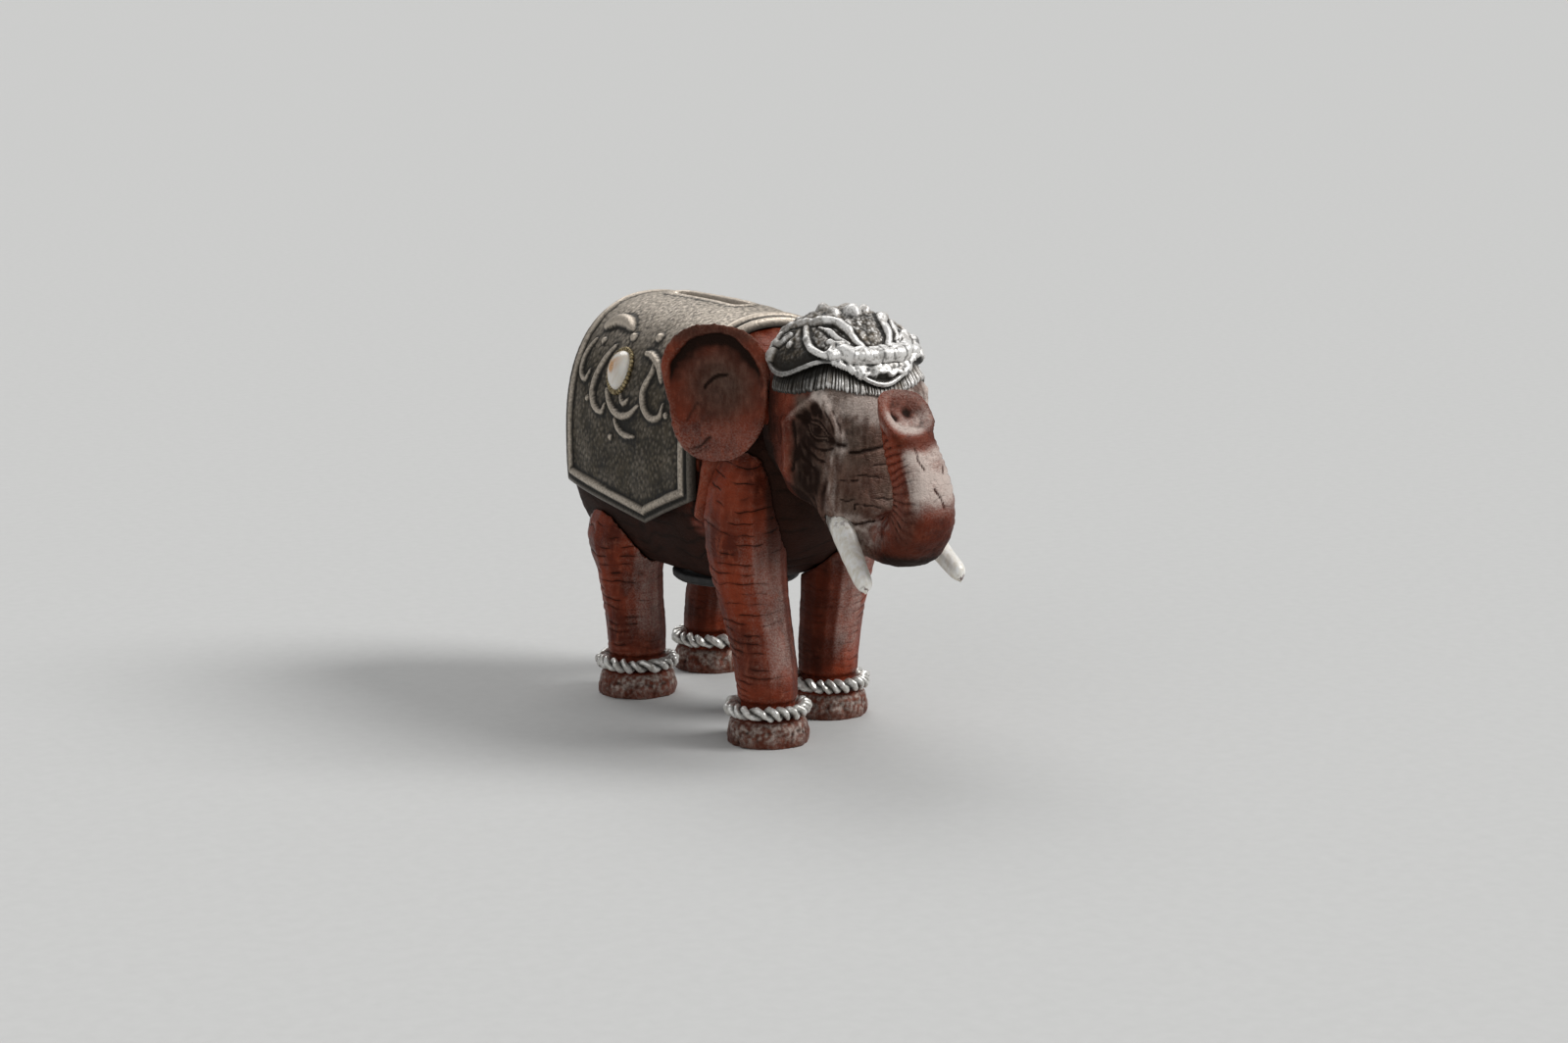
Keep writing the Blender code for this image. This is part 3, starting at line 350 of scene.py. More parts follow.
# The dark share holds the wash in hollows and fold lines, and the painted shade given with the wash.
wash = math_of(tree, "MAXIMUM", marked(tree, "wash_and_shade"), math_of(tree, "MULTIPLY", line, 0.92))
tone = mix(tree, wash, tone, colour(0.008, 0.0035, 0.0022))
shine = ranged(tree, brushing, 0.3, 0.7, 0.29, 0.44)
fill(tree, shader, {"Base Color": tone, "Roughness": ranged(tree, wash, 0.0, 1.0, shine, 0.75),
                    "Specular IOR Level": 0.24, "Specular Tint": colour(1.0, 0.62, 0.50)})
pores = raise_bump(tree, shader, specks, 0.00012, 0.70)
pores = raise_bump(tree, shader, ranged(tree, creases, 0.0, 0.10), 0.00012, 0.45, pores)
raise_bump(tree, shader, math_of(tree, "SUBTRACT", 1.0, line), 0.00022, 0.8, pores)

barrel = evened("barrel", "barrel_casting", SKIN_GRAIN, 10)
points, normals = points_of(barrel), normals_of(barrel)
_, y, z = points.T
mirrored = on_left(points)
outside = ramp((normals * (points - (0, BODY_MIDDLE_Y, BODY_MIDDLE_Z))).sum(1), 0.0, 4.0)
flap = ridge_along(mirrored, SKIN_FLAP, 2.0, 1.9)
crease = ridge_along(mirrored, np.array(SKIN_FLAP) + (0.4, 2.6, 0), 0.9, -0.6)
ripple = z / 3.1 + 1.1 * mottle(points, (14, 9, 14)) + y / 25
broken = np.clip(0.3 + 1.2 * mottle(points, 9, 2), 0, 1) * outside
lift = flap + crease + 0.15 * mottle(points, 4, 1)
lift -= 0.25 * broken * np.exp(-(np.sin(np.pi * ripple) * 2.2) ** 2)
put_points(barrel, points + normals * (lift * outside)[:, None])
# Painted shade darkens the underside and the chest, but not the flap, and a painted highlight lightens the
# flap's rear-facing side.
under = ramp(z, 62, 50) * 0.94
chest = ramp(y, -22, -31) * ramp(z, 92, 84)
bare = 1 - np.exp(-(from_path(mirrored, flowing(SKIN_FLAP, 20))[0] / 3.0) ** 4)
skin_marks(barrel, painted_shade_and_wash=np.maximum(under, 0.93 * chest) * outside * bare,
           greyed=np.clip(mottle(points, 18, 3), 0, 0.3), phase=ripple, folds=broken * 0.6,
           dust_and_sheen=0.16 * (1 - bare) * ramp(normals[:, 1], -0.05, 0.25))
barrel.data.materials.append(skin)
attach(barrel, "bank")
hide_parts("barrel")


# Legs. Four solid resin castings glued under the barrel, each with its foot. Fine folds run round them, and
# toenails are pressed into the feet. A pale dust is brushed over the feet, a painted sheen runs down the
# fronts, and painted shade darkens the inner sides and the tops of the hind legs.

LEG_GRAIN = 0.38
FOLD_NEAR_FOOT, FOLD_GROWTH = 1.7, 0.026
NAIL_TURNS = np.radians((-62, -21, 20, 61))
NAIL_HALF_WIDTH, NAIL_FOOT, NAIL_TOP = math.radians(15.5), 1.4, 3.6

soles = {mount["name"]: mount["pos_m"] for mount in frame["record"]["mounts"]}
for seed, leg_name in enumerate(("left_front", "right_front", "left_hind", "right_hind")):
    leg = evened(f"{leg_name}_leg", f"{leg_name}_leg_casting", LEG_GRAIN, 45)
    points, normals = points_of(leg), normals_of(leg)
    height = points[:, 2]
    sole = (np.array(soles[f"{leg_name}_sole"]) - UNDER_BODY) * 1000
    outer = normals[:, 0] * np.sign(sole[0])
    levels = np.arange(1.0, height.max(), 3.0)
    middles = np.array([points[np.abs(height - level) < 2.5, :2].mean(0) for level in levels])
    away = points[:, :2] - np.stack([np.interp(height, levels, column) for column in middles.T], 1)
    turn = np.arctan2(away[:, 0], -away[:, 1])
    spacing = FOLD_NEAR_FOOT + FOLD_GROWTH * np.maximum(height - 10, 0)
    phase = np.log(spacing / FOLD_NEAR_FOOT) / FOLD_GROWTH + 0.35 * np.cos(turn + 0.6)
    phase += 0.75 * mottle(points, (8, 8, 14), seed) + 0.16 * mottle(points, 2.4, seed + 5)
    folds = ramp(mottle(points, (5, 5, 3), seed + 9), -0.22, 0.20)
    folds *= ramp(height, 10.5, 13) * ramp(height, 78, 66)
    folds *= 0.30 + 0.70 * ramp(outer + 0.5 * ramp(height, 36, 48), -0.1, 0.75)
    from_line = (phase - np.round(phase)) * spacing
    lift = folds * (0.07 * np.cos(2 * np.pi * (phase - 0.5)) - 0.10 * bell(from_line, 0.34))
    lift += 0.18 * mottle(points, 5, seed + 3) + 0.06 * mottle(points, 1.6, seed + 4)
    foot = ramp(height, 9.0, 6.5) * ramp(np.abs(normals[:, 2]), 0.9, 0.6)
    nails, beds = np.zeros(len(points)), np.zeros(len(points))
    ragged = 0.22 * mottle(points, 1.3, seed + 8)
    over_foot = np.maximum(height - NAIL_FOOT, 0) / (NAIL_TOP - NAIL_FOOT)
    for nail_turn in NAIL_TURNS:
        from_nail = np.hypot((turn - nail_turn) / NAIL_HALF_WIDTH, over_foot) + ragged
        nails = np.maximum(nails, ramp(from_nail, 1.05, 0.55))
        beds = np.maximum(beds, bell(from_nail - 1.15, 0.22))
    lumps = 0.20 * mottle(points, 2.6, seed + 6) + 0.16 * mottle(points, 0.9, seed)
    lift += foot * (0.16 * nails - 0.09 * beds + lumps)
    moved = points + normals * lift[:, None]
    moved[:, 2] = np.maximum(moved[:, 2], 0.0)
    put_points(leg, moved)
    shade = ramp(height, 34, 52) * ramp(outer, 0.5, -0.2)
    shade = np.maximum(shade, 0.7 * ramp(outer, -0.2, -0.8))
    rough = np.clip(0.55 + 0.6 * mottle(points, 3.4, seed + 7) + 1.1 * mottle(points, 0.85, seed), 0, 1)
    rough *= 0.35 + 0.65 * ramp(height, 0.6, 3.6)
    # Painted sheen down the front of each leg, given with the dust.
    sheen = ramp(-normals[:, 1], 0.70, 0.97) * ramp(height, 11, 20) * ramp(height, 58, 40)
    sheen *= 0.85 + 0.30 * mottle(points, (2.0, 2.0, 6.0), seed + 12)
    # Painted shade at the top of each hind leg, where it meets the barrel.
    top = 0.45 * ramp(height, 44, 58) * ("hind" in leg_name)
    painted_shade_and_wash = 0.75 * shade * ramp(height, 8, 14) + top + foot * (0.10 * beds + 0.22 * (1 - rough))
    grey = foot * (0.30 + 0.7 * rough) + 0.25 * np.clip(mottle(points, 12, seed + 2), 0, 1)
    dust_and_sheen = foot * (0.10 * nails + 0.42 * rough) + 0.33 * sheen
    skin_marks(leg, painted_shade_and_wash, grey, dust_and_sheen, phase, folds)
    leg.data.materials.append(skin)
    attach(leg, "bank")
    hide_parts(f"{leg_name}_leg")


# Head. One resin casting with the raised trunk, let into the chest: deep-set eyes under a bony brow, folds
# of cheek, and a trunk ringed with creases that ends in a dished tip with two nostrils. Painted shade
# darkens the eyes, cheeks, jaw and the trunk's underside, and painted highlights sit on the brow, lids and
# trunk.

HEAD_GRAIN = 0.36
TRUNK_LINE = [(0, -62.7, 64.6), (0, -63.7, 59.9), (0, -65.4, 56.2), (0, -69.1, 54.0), (0, -73.8, 53.6),
              (-0.3, -79.2, 55.0), (-0.8, -83.2, 59.7), (-1.4, -84.0, 65.7), (-2.0, -82.1, 71.7),
              (-2.5, -79.9, 77.2), (-2.8, -78.8, 80.4), (-3.0, -79.5, 82.3)]
TRUNK_RING = 1.75
TIP_MIDDLE, TIP_OUT, TIP_UP = (-3.0, -79.5, 82.3), (0.0, -0.738, 0.675), (0.0, 0.675, 0.738)
NOSTRILS = ((-2.6, 0.3, 0.75), (1.3, 1.2, 1.0))
EYE, EYE_ALONG, EYE_OUT = (14.6, -60.6, 77.3), (-0.434, -0.788, -0.434), (0.87, -0.49, 0.05)
EYE_HALF_LENGTH, EYE_HALF_HEIGHT = 2.7, 1.05
EYE_SHADE = ((16.1, -56.8, 79.7), (15.3, -59.8, 81.1), (16.3, -55.9, 77.7), (15.7, -57.4, 76.8),
             (15.4, -59.3, 78.7), (14.2, -62.0, 79.6), (13.6, -62.8, 77.4), (12.6, -63.8, 74.6),
             (15.1, -59.5, 75.4), (15.6, -57.8, 75.2))
CHEEK_SHADE = ((16.9, -56.4, 71.5), (16.4, -57.9, 68.3), (14.8, -60.3, 67.2), (16.7, -56.4, 66.0),
               (15.5, -58.9, 65.2), (14.3, -60.9, 64.6), (15.6, -58.6, 71.0))
# Places on the forehead painted a darker grey.
FOREHEAD_DARK_SPOTS = ((10.4, -65.3, 79.6), (8.8, -66.0, 78.2), (6.8, -66.5, 78.6), (9.6, -65.8, 75.8),
           (7.3, -66.8, 75.8), (5.0, -67.2, 76.8))
BROW_CORNER = (14.2, -61.6, 85.6)
BROW_SIDE = [(17.1, -52.8, 79.8), (16.5, -55.0, 81.6), (16.3, -57.6, 83.3), (15.4, -59.4, 84.6),
             (14.5, -61.0, 85.9)]
BROW_FRONT = [(14.5, -61.0, 85.9), (13.9, -62.2, 84.6), (13.2, -63.3, 82.3), (12.2, -64.1, 79.4),
              (11.3, -64.7, 76.8), (10.8, -65.1, 74.3)]
TUSK_RIDGE = [(12.0, -64.4, 72.8), (12.4, -64.0, 69.5), (12.5, -63.7, 66.1), (12.9, -64.0, 62.9),
              (13.2, -64.5, 59.7)]
FACE_SWELLS = (
    ((16.0, -57.2, 80.2), 2.8, -1.3),
    ((15.0, -60.2, 81.7), 2.5, -1.3),
    ((15.6, -58.0, 73.2), 2.4, -0.5),
    ((15.9, -57.6, 68.2), 3.0, -0.9),
    ((5.0, -66.6, 83.0), 4.0, 0.7),
    ((8.4, -66.0, 77.6), 2.8, -0.6),
    ((15.6, -52.0, 62.5), 5.0, 0.9),
)
FACE_RIDGES = (
    (BROW_SIDE, 0.9, 0.7),
    (BROW_FRONT, 1.2, 1.0),
    (TUSK_RIDGE, 0.9, 0.45),
    ([(13.6, -62.6, 70.0), (13.8, -61.8, 66.0), (13.9, -60.7, 61.5), (13.4, -61.2, 57.5)], 0.9, 0.4),
    ([(17.3, -51.0, 80.0), (17.5, -52.2, 75.0), (17.5, -52.8, 70.5), (17.2, -52.0, 66.0)], 1.5, 0.7),
)
FACE_CREASES = (
    ([(9.9, -65.9, 72.5), (8.1, -66.8, 72.6), (5.8, -67.4, 73.0), (2.9, -67.8, 73.5), (-0.5, -67.9, 73.6)],
     0.5, 0.5, 0.75),
    ([(17.0, -53.3, 80.0), (16.9, -54.1, 77.5), (17.0, -54.9, 74.3), (17.1, -55.6, 71.4),
      (17.4, -54.5, 68.9), (17.3, -53.3, 66.8)], 0.65, 0.5, 0.40),
    ([(13.4, -61.0, 57.4), (12.4, -65.0, 57.1), (9.5, -68.4, 56.6), (7.0, -71.2, 57.5), (5.6, -74.0, 58.4),
      (-0.5, -74.0, 58.8)], 0.30, 0.5, 0.85),
    ([(15.2, -58.5, 74.6), (14.7, -60.7, 73.3), (13.3, -62.8, 73.2), (12.0, -64.4, 73.6)], 0.32, 0.35, 0.45),
    ([(16.1, -56.8, 74.6), (15.6, -58.5, 72.4), (14.6, -61.1, 70.9), (13.4, -62.9, 70.4)], 0.34, 0.35, 0.45),
    ([(16.6, -55.9, 74.4), (16.5, -56.8, 71.8), (15.6, -59.0, 69.5), (14.7, -60.8, 68.4)], 0.36, 0.35, 0.45),
    ([(14.0, -62.9, 82.6), (12.9, -63.7, 79.5), (12.0, -64.4, 76.5)], 0.26, 0.28, 0.45),
    ([(12.4, -64.0, 82.6), (11.4, -64.7, 79.5), (10.6, -65.2, 76.5)], 0.26, 0.22, 0.35),
)
CRACKS = (
    [(11.4, -65.3, 66.2), (9.7, -66.8, 66.2), (7.6, -67.8, 66.4)],
    [(9.6, -66.6, 67.2), (6.5, -68.0, 67.5), (4.2, -68.6, 67.1), (1.6, -68.9, 66.6)],
    [(11.9, -66.0, 62.0), (10.3, -67.3, 62.0), (8.6, -68.1, 62.2)],
    [(4.6, -69.3, 62.3), (1.7, -69.7, 62.0), (-0.5, -69.8, 61.9)],
    [(9.3, -68.0, 61.0), (6.5, -69.2, 60.8), (3.0, -71.1, 60.0)],
    [(9.2, -68.0, 61.2), (9.3, -68.3, 59.5)],
    [(4.5, -68.2, 69.6), (2.0, -68.5, 69.8), (-0.6, -68.6, 69.5)],
)
RISE_CRACKS = (
    [(-4.7, -85.6, 76.4), (-4.7, -86.4, 74.9), (-4.8, -87.0, 73.5), (-4.1, -87.8, 72.1),
     (-3.5, -88.3, 70.9)],
    [(-2.4, -89.7, 67.4), (-1.2, -90.1, 65.7), (-0.1, -90.4, 63.7), (0.7, -90.3, 62.3)],
    [(1.5, -86.5, 75.0), (2.0, -87.5, 72.5), (1.4, -88.5, 70.0)],
)


def near_any(points, places, reach):
    """How near each point is to the nearest of some places, from 1 beside one to 0 past the reach."""
    away = np.min([np.linalg.norm(points - np.array(place), axis=1) for place in places], axis=0)
    return np.exp(-(away / reach) ** 4)


head = evened("head", "head_casting", HEAD_GRAIN, 22)
points, normals = points_of(head), normals_of(head)
x, y, z = points.T
nx, ny, nz = normals.T
mirrored = on_left(points)
eye, along, out = np.array((EYE, EYE_ALONG, EYE_OUT))
out = out - along * (out @ along)
out /= np.linalg.norm(out)
above = np.cross(along, out)
above *= np.sign(above[2])
from_eye = mirrored - eye
u, v, depth = from_eye @ along, from_eye @ above, from_eye @ out
on_eye_side = ramp(depth, -4.0, -2.0) * ramp(np.hypot(u, v), 9.0, 7.0)
lid = EYE_HALF_HEIGHT * np.clip(1 - (u / EYE_HALF_LENGTH) ** 2, 0, 1)
past_lid = np.abs(v - 0.1) - lid
ball = ramp(past_lid, 0.12, -0.30)
span = np.exp(-((np.abs(u) / 3.2) ** 4))
bulge = 0.75 * ball * np.sqrt(np.clip(1 - (u / 2.9) ** 2 - (v / 1.5) ** 2, 0, 1))
lift = on_eye_side * (bulge - 0.55 * bell(np.maximum(past_lid, 0), 1.0))
lift += sum(swell(mirrored, *form) for form in FACE_SWELLS)
lift += sum(ridge_along(mirrored, *form) for form in FACE_RIDGES)
rings_of_lid = 0.55 * bell(past_lid - 0.40, 0.30) - 0.25 * bell(past_lid - 0.95, 0.25)
rings_of_lid += 0.20 * bell(past_lid - 1.45, 0.30)
lift += on_eye_side * span * rings_of_lid
lid_edge = on_eye_side * span * bell(past_lid - 0.42, 0.25)
eye_shade = near_any(mirrored, EYE_SHADE, 2.1)
painted_shade_and_wash = 0.76 * eye_shade + 0.55 * near_any(mirrored, CHEEK_SHADE, 2.4)
# Painted highlight: the lid edges are kept lighter inside the painted eye shade.
painted_shade_and_wash -= 0.30 * lid_edge * eye_shade
painted_shade_and_wash += 0.9 * on_eye_side * ball * np.exp(-(np.hypot(u - 0.2, v - 0.1) / 0.9) ** 4)
wavy = mirrored + 0.35 * np.stack([mottle(points, 2.0, k) for k in (1, 2, 3)], 1)
cuts = [(wavy, *crease) for crease in FACE_CREASES]
cuts += [(wavy, path, 0.22, 0.25, 0.95) for path in CRACKS]
cuts += [(points + (wavy - mirrored), path, 0.22, 0.24, 0.90) for path in RISE_CRACKS]
for places, path, width, depth_in, darkness in cuts:
    cut_in = ridge_along(places, path, width, 1.0)
    lift -= depth_in * cut_in
    painted_shade_and_wash += darkness * cut_in

trunk = flowing(TRUNK_LINE, 90)
away, share = from_path(points, trunk)
run = share * np.linalg.norm(np.diff(trunk, axis=0), axis=1).sum()
run[(y > -71.5) & (z > 61.0)] = 0.0
tip = points - np.array(TIP_MIDDLE)
tip_across, tip_up, tip_out = tip[:, 0], tip @ np.array(TIP_UP), tip @ np.array(TIP_OUT)
from_tip = np.hypot(tip_across, tip_up)
on_tip = ramp(tip_out, -3.2, -2.2) * ramp(from_tip, 8.5, 7.5)
ringed = ramp(run, 12, 16) * (1 - on_tip) * ramp(away, 10.5, 9.0)
flank = ramp(np.abs(nx), 0.45, 0.80) * ramp(run, 24, 30) * (1 - on_tip)
inner = np.maximum(ramp(ny, -0.2, 0.7), flank)
phase = run / TRUNK_RING + 0.55 * mottle(points, 4.5, 4) + 0.12 * mottle(points, 1.8, 6)
folds = ringed * np.clip(0.05 + 0.85 * inner + 0.8 * mottle(points, 3.6, 8), 0, 1)
grooves = bell((phase - np.round(phase)) * TRUNK_RING, 0.32)
lift += folds * (0.10 * np.cos(2 * np.pi * (phase - 0.5)) - 0.12 * grooves) * (0.5 + 0.4 * inner)
lift += 0.12 * mottle(points, 3.5, 11) + 0.07 * mottle(points, 1.2, 12)
lift += 0.07 * mottle(points, (0.8, 0.8, 3.0), 13)
dish = ramp(from_tip, 6.4, 3.2) * on_tip
holes = np.zeros(len(points))
for across, up, deep in NOSTRILS:
    from_hole = np.hypot(tip_across - across, tip_up - up)
    holes = np.maximum(holes, deep * bell(from_hole, 1.35))
lift += 0.75 * dish * (1 - holes)
rim = on_tip * bell(from_tip - 5.7, 0.8)
# Painted highlight on a crescent of the dished tip, which is also raised a little.
crescent = on_tip * bell(from_tip - 3.8, 1.3) * ramp(-tip_across - 1.2 * tip_up, 0.5, 4.0)
lift += 0.30 * crescent
spread = on_tip * ramp(from_tip, 2.0, 6.0)
spread *= ramp(tip_up, -6.5, -1.0) * ramp(tip_out, -3.6, -1.4)
wider = np.outer(1.4 * spread * ramp(tip_across, 0.5, 5.0), (1.0, 0.0, 0.0))
taller = np.outer(1.4 * spread * ramp(tip_up, 0.5, 5.0), TIP_UP)
put_points(head, points + normals * lift[:, None] + wider + taller)

face = ramp(y, -56.0, -62.0) * ramp(run, 20.0, 14.0)
cheek = ramp(y, -52.5, -56.5) * ramp(z, 88, 84) * ramp(run, 20.0, 14.0)
to_tip = np.linalg.norm(tip, axis=1)
front = ramp(z, 58.0, 67.0) * ramp(y, -72, -76) * (1 - on_tip)
front *= ramp(ny, -0.20, -0.85) * ramp(to_tip, 7.0, 11.5)
front *= np.clip(0.82 + 0.5 * mottle(points, (4, 4, 3), 21), 0, 1)
streaks = np.clip(0.45 + 1.3 * mottle(points, (1.0, 1.0, 4.0), 23), 0, 1)
brow_side = bell(from_path(mirrored, flowing(BROW_SIDE, 30))[0], 0.9)
brow_front = bell(from_path(mirrored, flowing(BROW_FRONT, 30))[0], 1.9) * (0.35 + 0.65 * streaks)
drifted = mirrored + 3.5 * (wavy - mirrored)
forehead = np.exp(-(np.linalg.norm((drifted - (5.0, -66.5, 82.5)) / (9.0, 6.0, 5.0), axis=1)) ** 3)
forehead_dark_spot = near_any(drifted, FOREHEAD_DARK_SPOTS, 2.6)
forehead_dark_spot *= np.clip(0.65 + 1.0 * mottle(points, 1.8, 31), 0.1, 1)
# Pale dust and painted highlights: the forehead is dusted; the brow, its corner, the ridge to the tusk and
# the lid edges carry painted highlights with dust; the trunk's front carries dust and a painted sheen.
dust_and_sheen = 0.24 * brow_side + 0.38 * brow_front + 0.46 * forehead * (1 - 0.7 * forehead_dark_spot) + 0.85 * front
# The dish is dusted pale, less towards its top, and the crescent carries a painted highlight.
pale = ramp(from_tip, 7.0, 4.8) * on_tip * (1 - 0.85 * holes) * (1 - 0.5 * ramp(tip_up, -0.5, 3.5))
dust_and_sheen += 0.42 * crescent + 0.40 * pale + 0.15 * rim * ramp(tip_up, 0.0, 4.0)
dust_and_sheen += 0.36 * near_any(mirrored, (BROW_CORNER,), 2.2)
dust_and_sheen += 0.10 * face * streaks + 0.04 * ramp(y, -57.0, -52.0) * streaks
to_tusk = bell(from_path(mirrored, flowing(TUSK_RIDGE, 30))[0], 1.9)
dust_and_sheen += 0.39 * to_tusk * (0.4 + 0.6 * streaks) + 0.16 * lid_edge
low_side = ramp(z, 49.5, 53.0) * ramp(z, 60.0, 57.5)
low_side *= ramp(y, -62, -65) * ramp(y, -83, -77)
dust_and_sheen += 0.42 * low_side * np.clip(0.6 + 1.1 * mottle(points, 1.6, 33), 0, 1)
# Painted shade: behind the cheek, under the jaw, along the trunk's bend and bottom, under the tip, in the
# top of the dish and on the cheek, less on the ridge to the tusk.
behind = ramp(y, -53, -43) * ramp(z, 90, 82)
under_jaw = ramp(nz, -0.1, -0.7) * ramp(y, -68, -60)
low_bend = ramp(z, 60.0, 50.0) * ramp(y, -68, -80)
bend = ramp(z, 66.0, 58.0) * ramp(y, -70, -77)
painted_shade_and_wash += 0.6 * ramp(z, 52.0, 47.5) * ramp(y, -64, -68)
painted_shade_and_wash += 0.92 * behind + 0.85 * under_jaw + 0.45 * low_bend + 0.28 * bend * (1 - 0.7 * low_side)
painted_shade_and_wash += 0.50 * dish * holes + 0.26 * forehead_dark_spot + 0.18 * rim
painted_shade_and_wash += 0.45 * cheek * ramp(np.abs(x), 12.0, 14.5) * ramp(z, 80, 72)
painted_shade_and_wash *= (1 - 0.30 * cheek * streaks) * (1 - 0.75 * to_tusk)
painted_shade_and_wash += 0.34 * dish * ramp(tip_up, -0.5, 3.0) * (1 - holes)
painted_shade_and_wash += 0.50 * ramp(to_tip, 5.5, 7.0) * ramp(to_tip, 11.0, 7.5) * ramp(ny, 0.1, -0.5) * (tip_up < 0)
grey = 0.95 * np.maximum(face, cheek) + 0.35 * front + 0.15 * dish + eye_shade + forehead_dark_spot + 0.7 * forehead
grey += 0.35 * flank * ramp(z, 70, 64) + 0.12 * ramp(y, -60.0, -52.0)
skin_marks(head, painted_shade_and_wash, grey, dust_and_sheen * (1 - np.clip(painted_shade_and_wash, 0, 1)), phase, 0.55 * folds)
head.data.materials.append(skin)
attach(head, "bank")
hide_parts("head")


# Ears. Two cupped resin plates whose tongues are glued into slots behind the cheeks. The upper edge rolls
# forward over a hollow darkened with painted shade, one crease crosses the plate, and small veins run to the
# lower edge.

EAR_GRAIN = 0.38
EAR_CREASES = (
    ([(16.9, 0.1), (14.7, 2.4), (12.4, 3.4), (10.1, 3.8)], 0.36, 0.35, 0.70),
    ([(21.6, -7.6), (20.2, -4.6), (18.6, -2.6)], 0.50, 0.16, 0.10),
    ([(20.2, -14.4), (17.5, -13.2), (14.3, -10.6)], 0.45, 0.22, 0.22),
    ([(19.0, -15.2), (16.6, -13.9), (15.4, -12.9)], 0.30, 0.12, 0.18),
)

for side, hand, sweep, drop in ((-1, "right", 40.0, 0.0), (1, "left", 60.0, 4.0)):
    ear = evened(f"{hand}_ear", f"{hand}_ear_casting", EAR_GRAIN, 60)
    points, normals = points_of(ear), normals_of(ear)
    turn = math.radians(sweep)
    outwards = np.array((side * math.cos(turn), math.sin(turn), 0))
    forwards = np.array((side * math.sin(turn), -math.cos(turn), 0))
    root = points - np.array((side * 14.0, -41.0, 84.2 - drop))
    flat = np.stack((root @ outwards, root[:, 2]), 1)
    facing = ramp(normals @ forwards, 0.05, 0.5)
    from_middle = np.linalg.norm((flat - (13.5, -1.0)) / (12.2, 15.2), axis=1)
    from_middle += 0.05 * mottle(points, 5, 6) + 0.02 * mottle(points, 1.6, 7)
    top = ramp(flat[:, 1], -1.0, 8.0) * facing
    hollow = ramp(from_middle, 0.50, 0.90) * ramp(from_middle, 1.02, 0.90) * top
    lift = 0.45 * ramp(from_middle, 0.90, 1.02) * top - 0.75 * hollow
    # Painted shade in the hollow under the rolled edge.
    painted_shade_and_wash = 0.58 * hollow
    for path, width, depth_in, darkness in EAR_CREASES:
        cut_in = ridge_along(flat + 0.25 * mottle(points, 2.0, 5)[:, None], path, width, 1.0) * facing
        lift -= depth_in * cut_in
        painted_shade_and_wash += darkness * cut_in
    lift += 0.16 * mottle(points, 6, 2) + 0.06 * mottle(points, 1.8, 3)
    waist = 1.8 * ramp(flat[:, 0], 8.0, 22.0) * bell(flat[:, 1] + 4.0, 6.5)
    edge = ramp(from_middle, 1.00, 1.10)[:, None]
    points = points + normals * lift[:, None] - np.outer(waist, outwards)
    put_points(ear, points + 0.8 * edge * (drawn_in(ear, points, 14) - points))
    middle_grey = np.exp(-(np.linalg.norm((flat - (12.5, 1.5)) / (10.0, 9.0), axis=1)) ** 3) * facing
    crown = ramp(flat[:, 1], 10.0, 14.0)
    lobe = ramp(flat[:, 1], -3.0, -11.0) * facing
    skin_marks(ear, painted_shade_and_wash=painted_shade_and_wash + 0.45 * crown + 0.30 * middle_grey, greyed=0.9 * middle_grey + 0.4 * crown,
               dust_and_sheen=0.17 * lobe)
    ear.data.materials.append(skin)
    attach(ear, "bank")
    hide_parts(f"{hand}_ear")


# Tail. A thin resin casting glued into the rump, painted like the barrel. It is ringed like the trunk, with
# a tuft of combed hair at its end.

TAIL_GRAIN = 0.32

tail = evened("tail", "tail_casting", TAIL_GRAIN, 14)
points, normals = points_of(tail), normals_of(tail)
x, y, z = points.T
tuft = ramp(z, 56.0, 53.0)
turn = np.arctan2(x, y - np.median(y))
phase = z / 1.4 + 0.3 * mottle(points, 3)
hairs = np.sin(9 * turn + 1.6 * mottle(points, (3, 3, 9), 2))
folds = (1 - tuft) * 0.8
lift = 0.26 * tuft * hairs + folds * 0.10 * np.cos(2 * np.pi * (phase - 0.5))
put_points(tail, points + normals * lift[:, None])
skin_marks(tail, phase=phase, folds=folds, painted_shade_and_wash=tuft * np.clip(-hairs, 0, 1) * 0.8, greyed=0.5 * tuft)
tail.data.materials.append(skin)
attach(tail, "bank")
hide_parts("tail")


# Saddle cloth. A cast resin shell glued over the back, made to look like a stiff caparison: a ridge runs
# inside its hem, scrolls curl round the stone on each side, and the coin slot goes through its top. Silver
# paint is brushed over a dark olive wash. Painted light brightens the top and a few raised spots, and
# painted shade blackens the edge and the slot's throat.

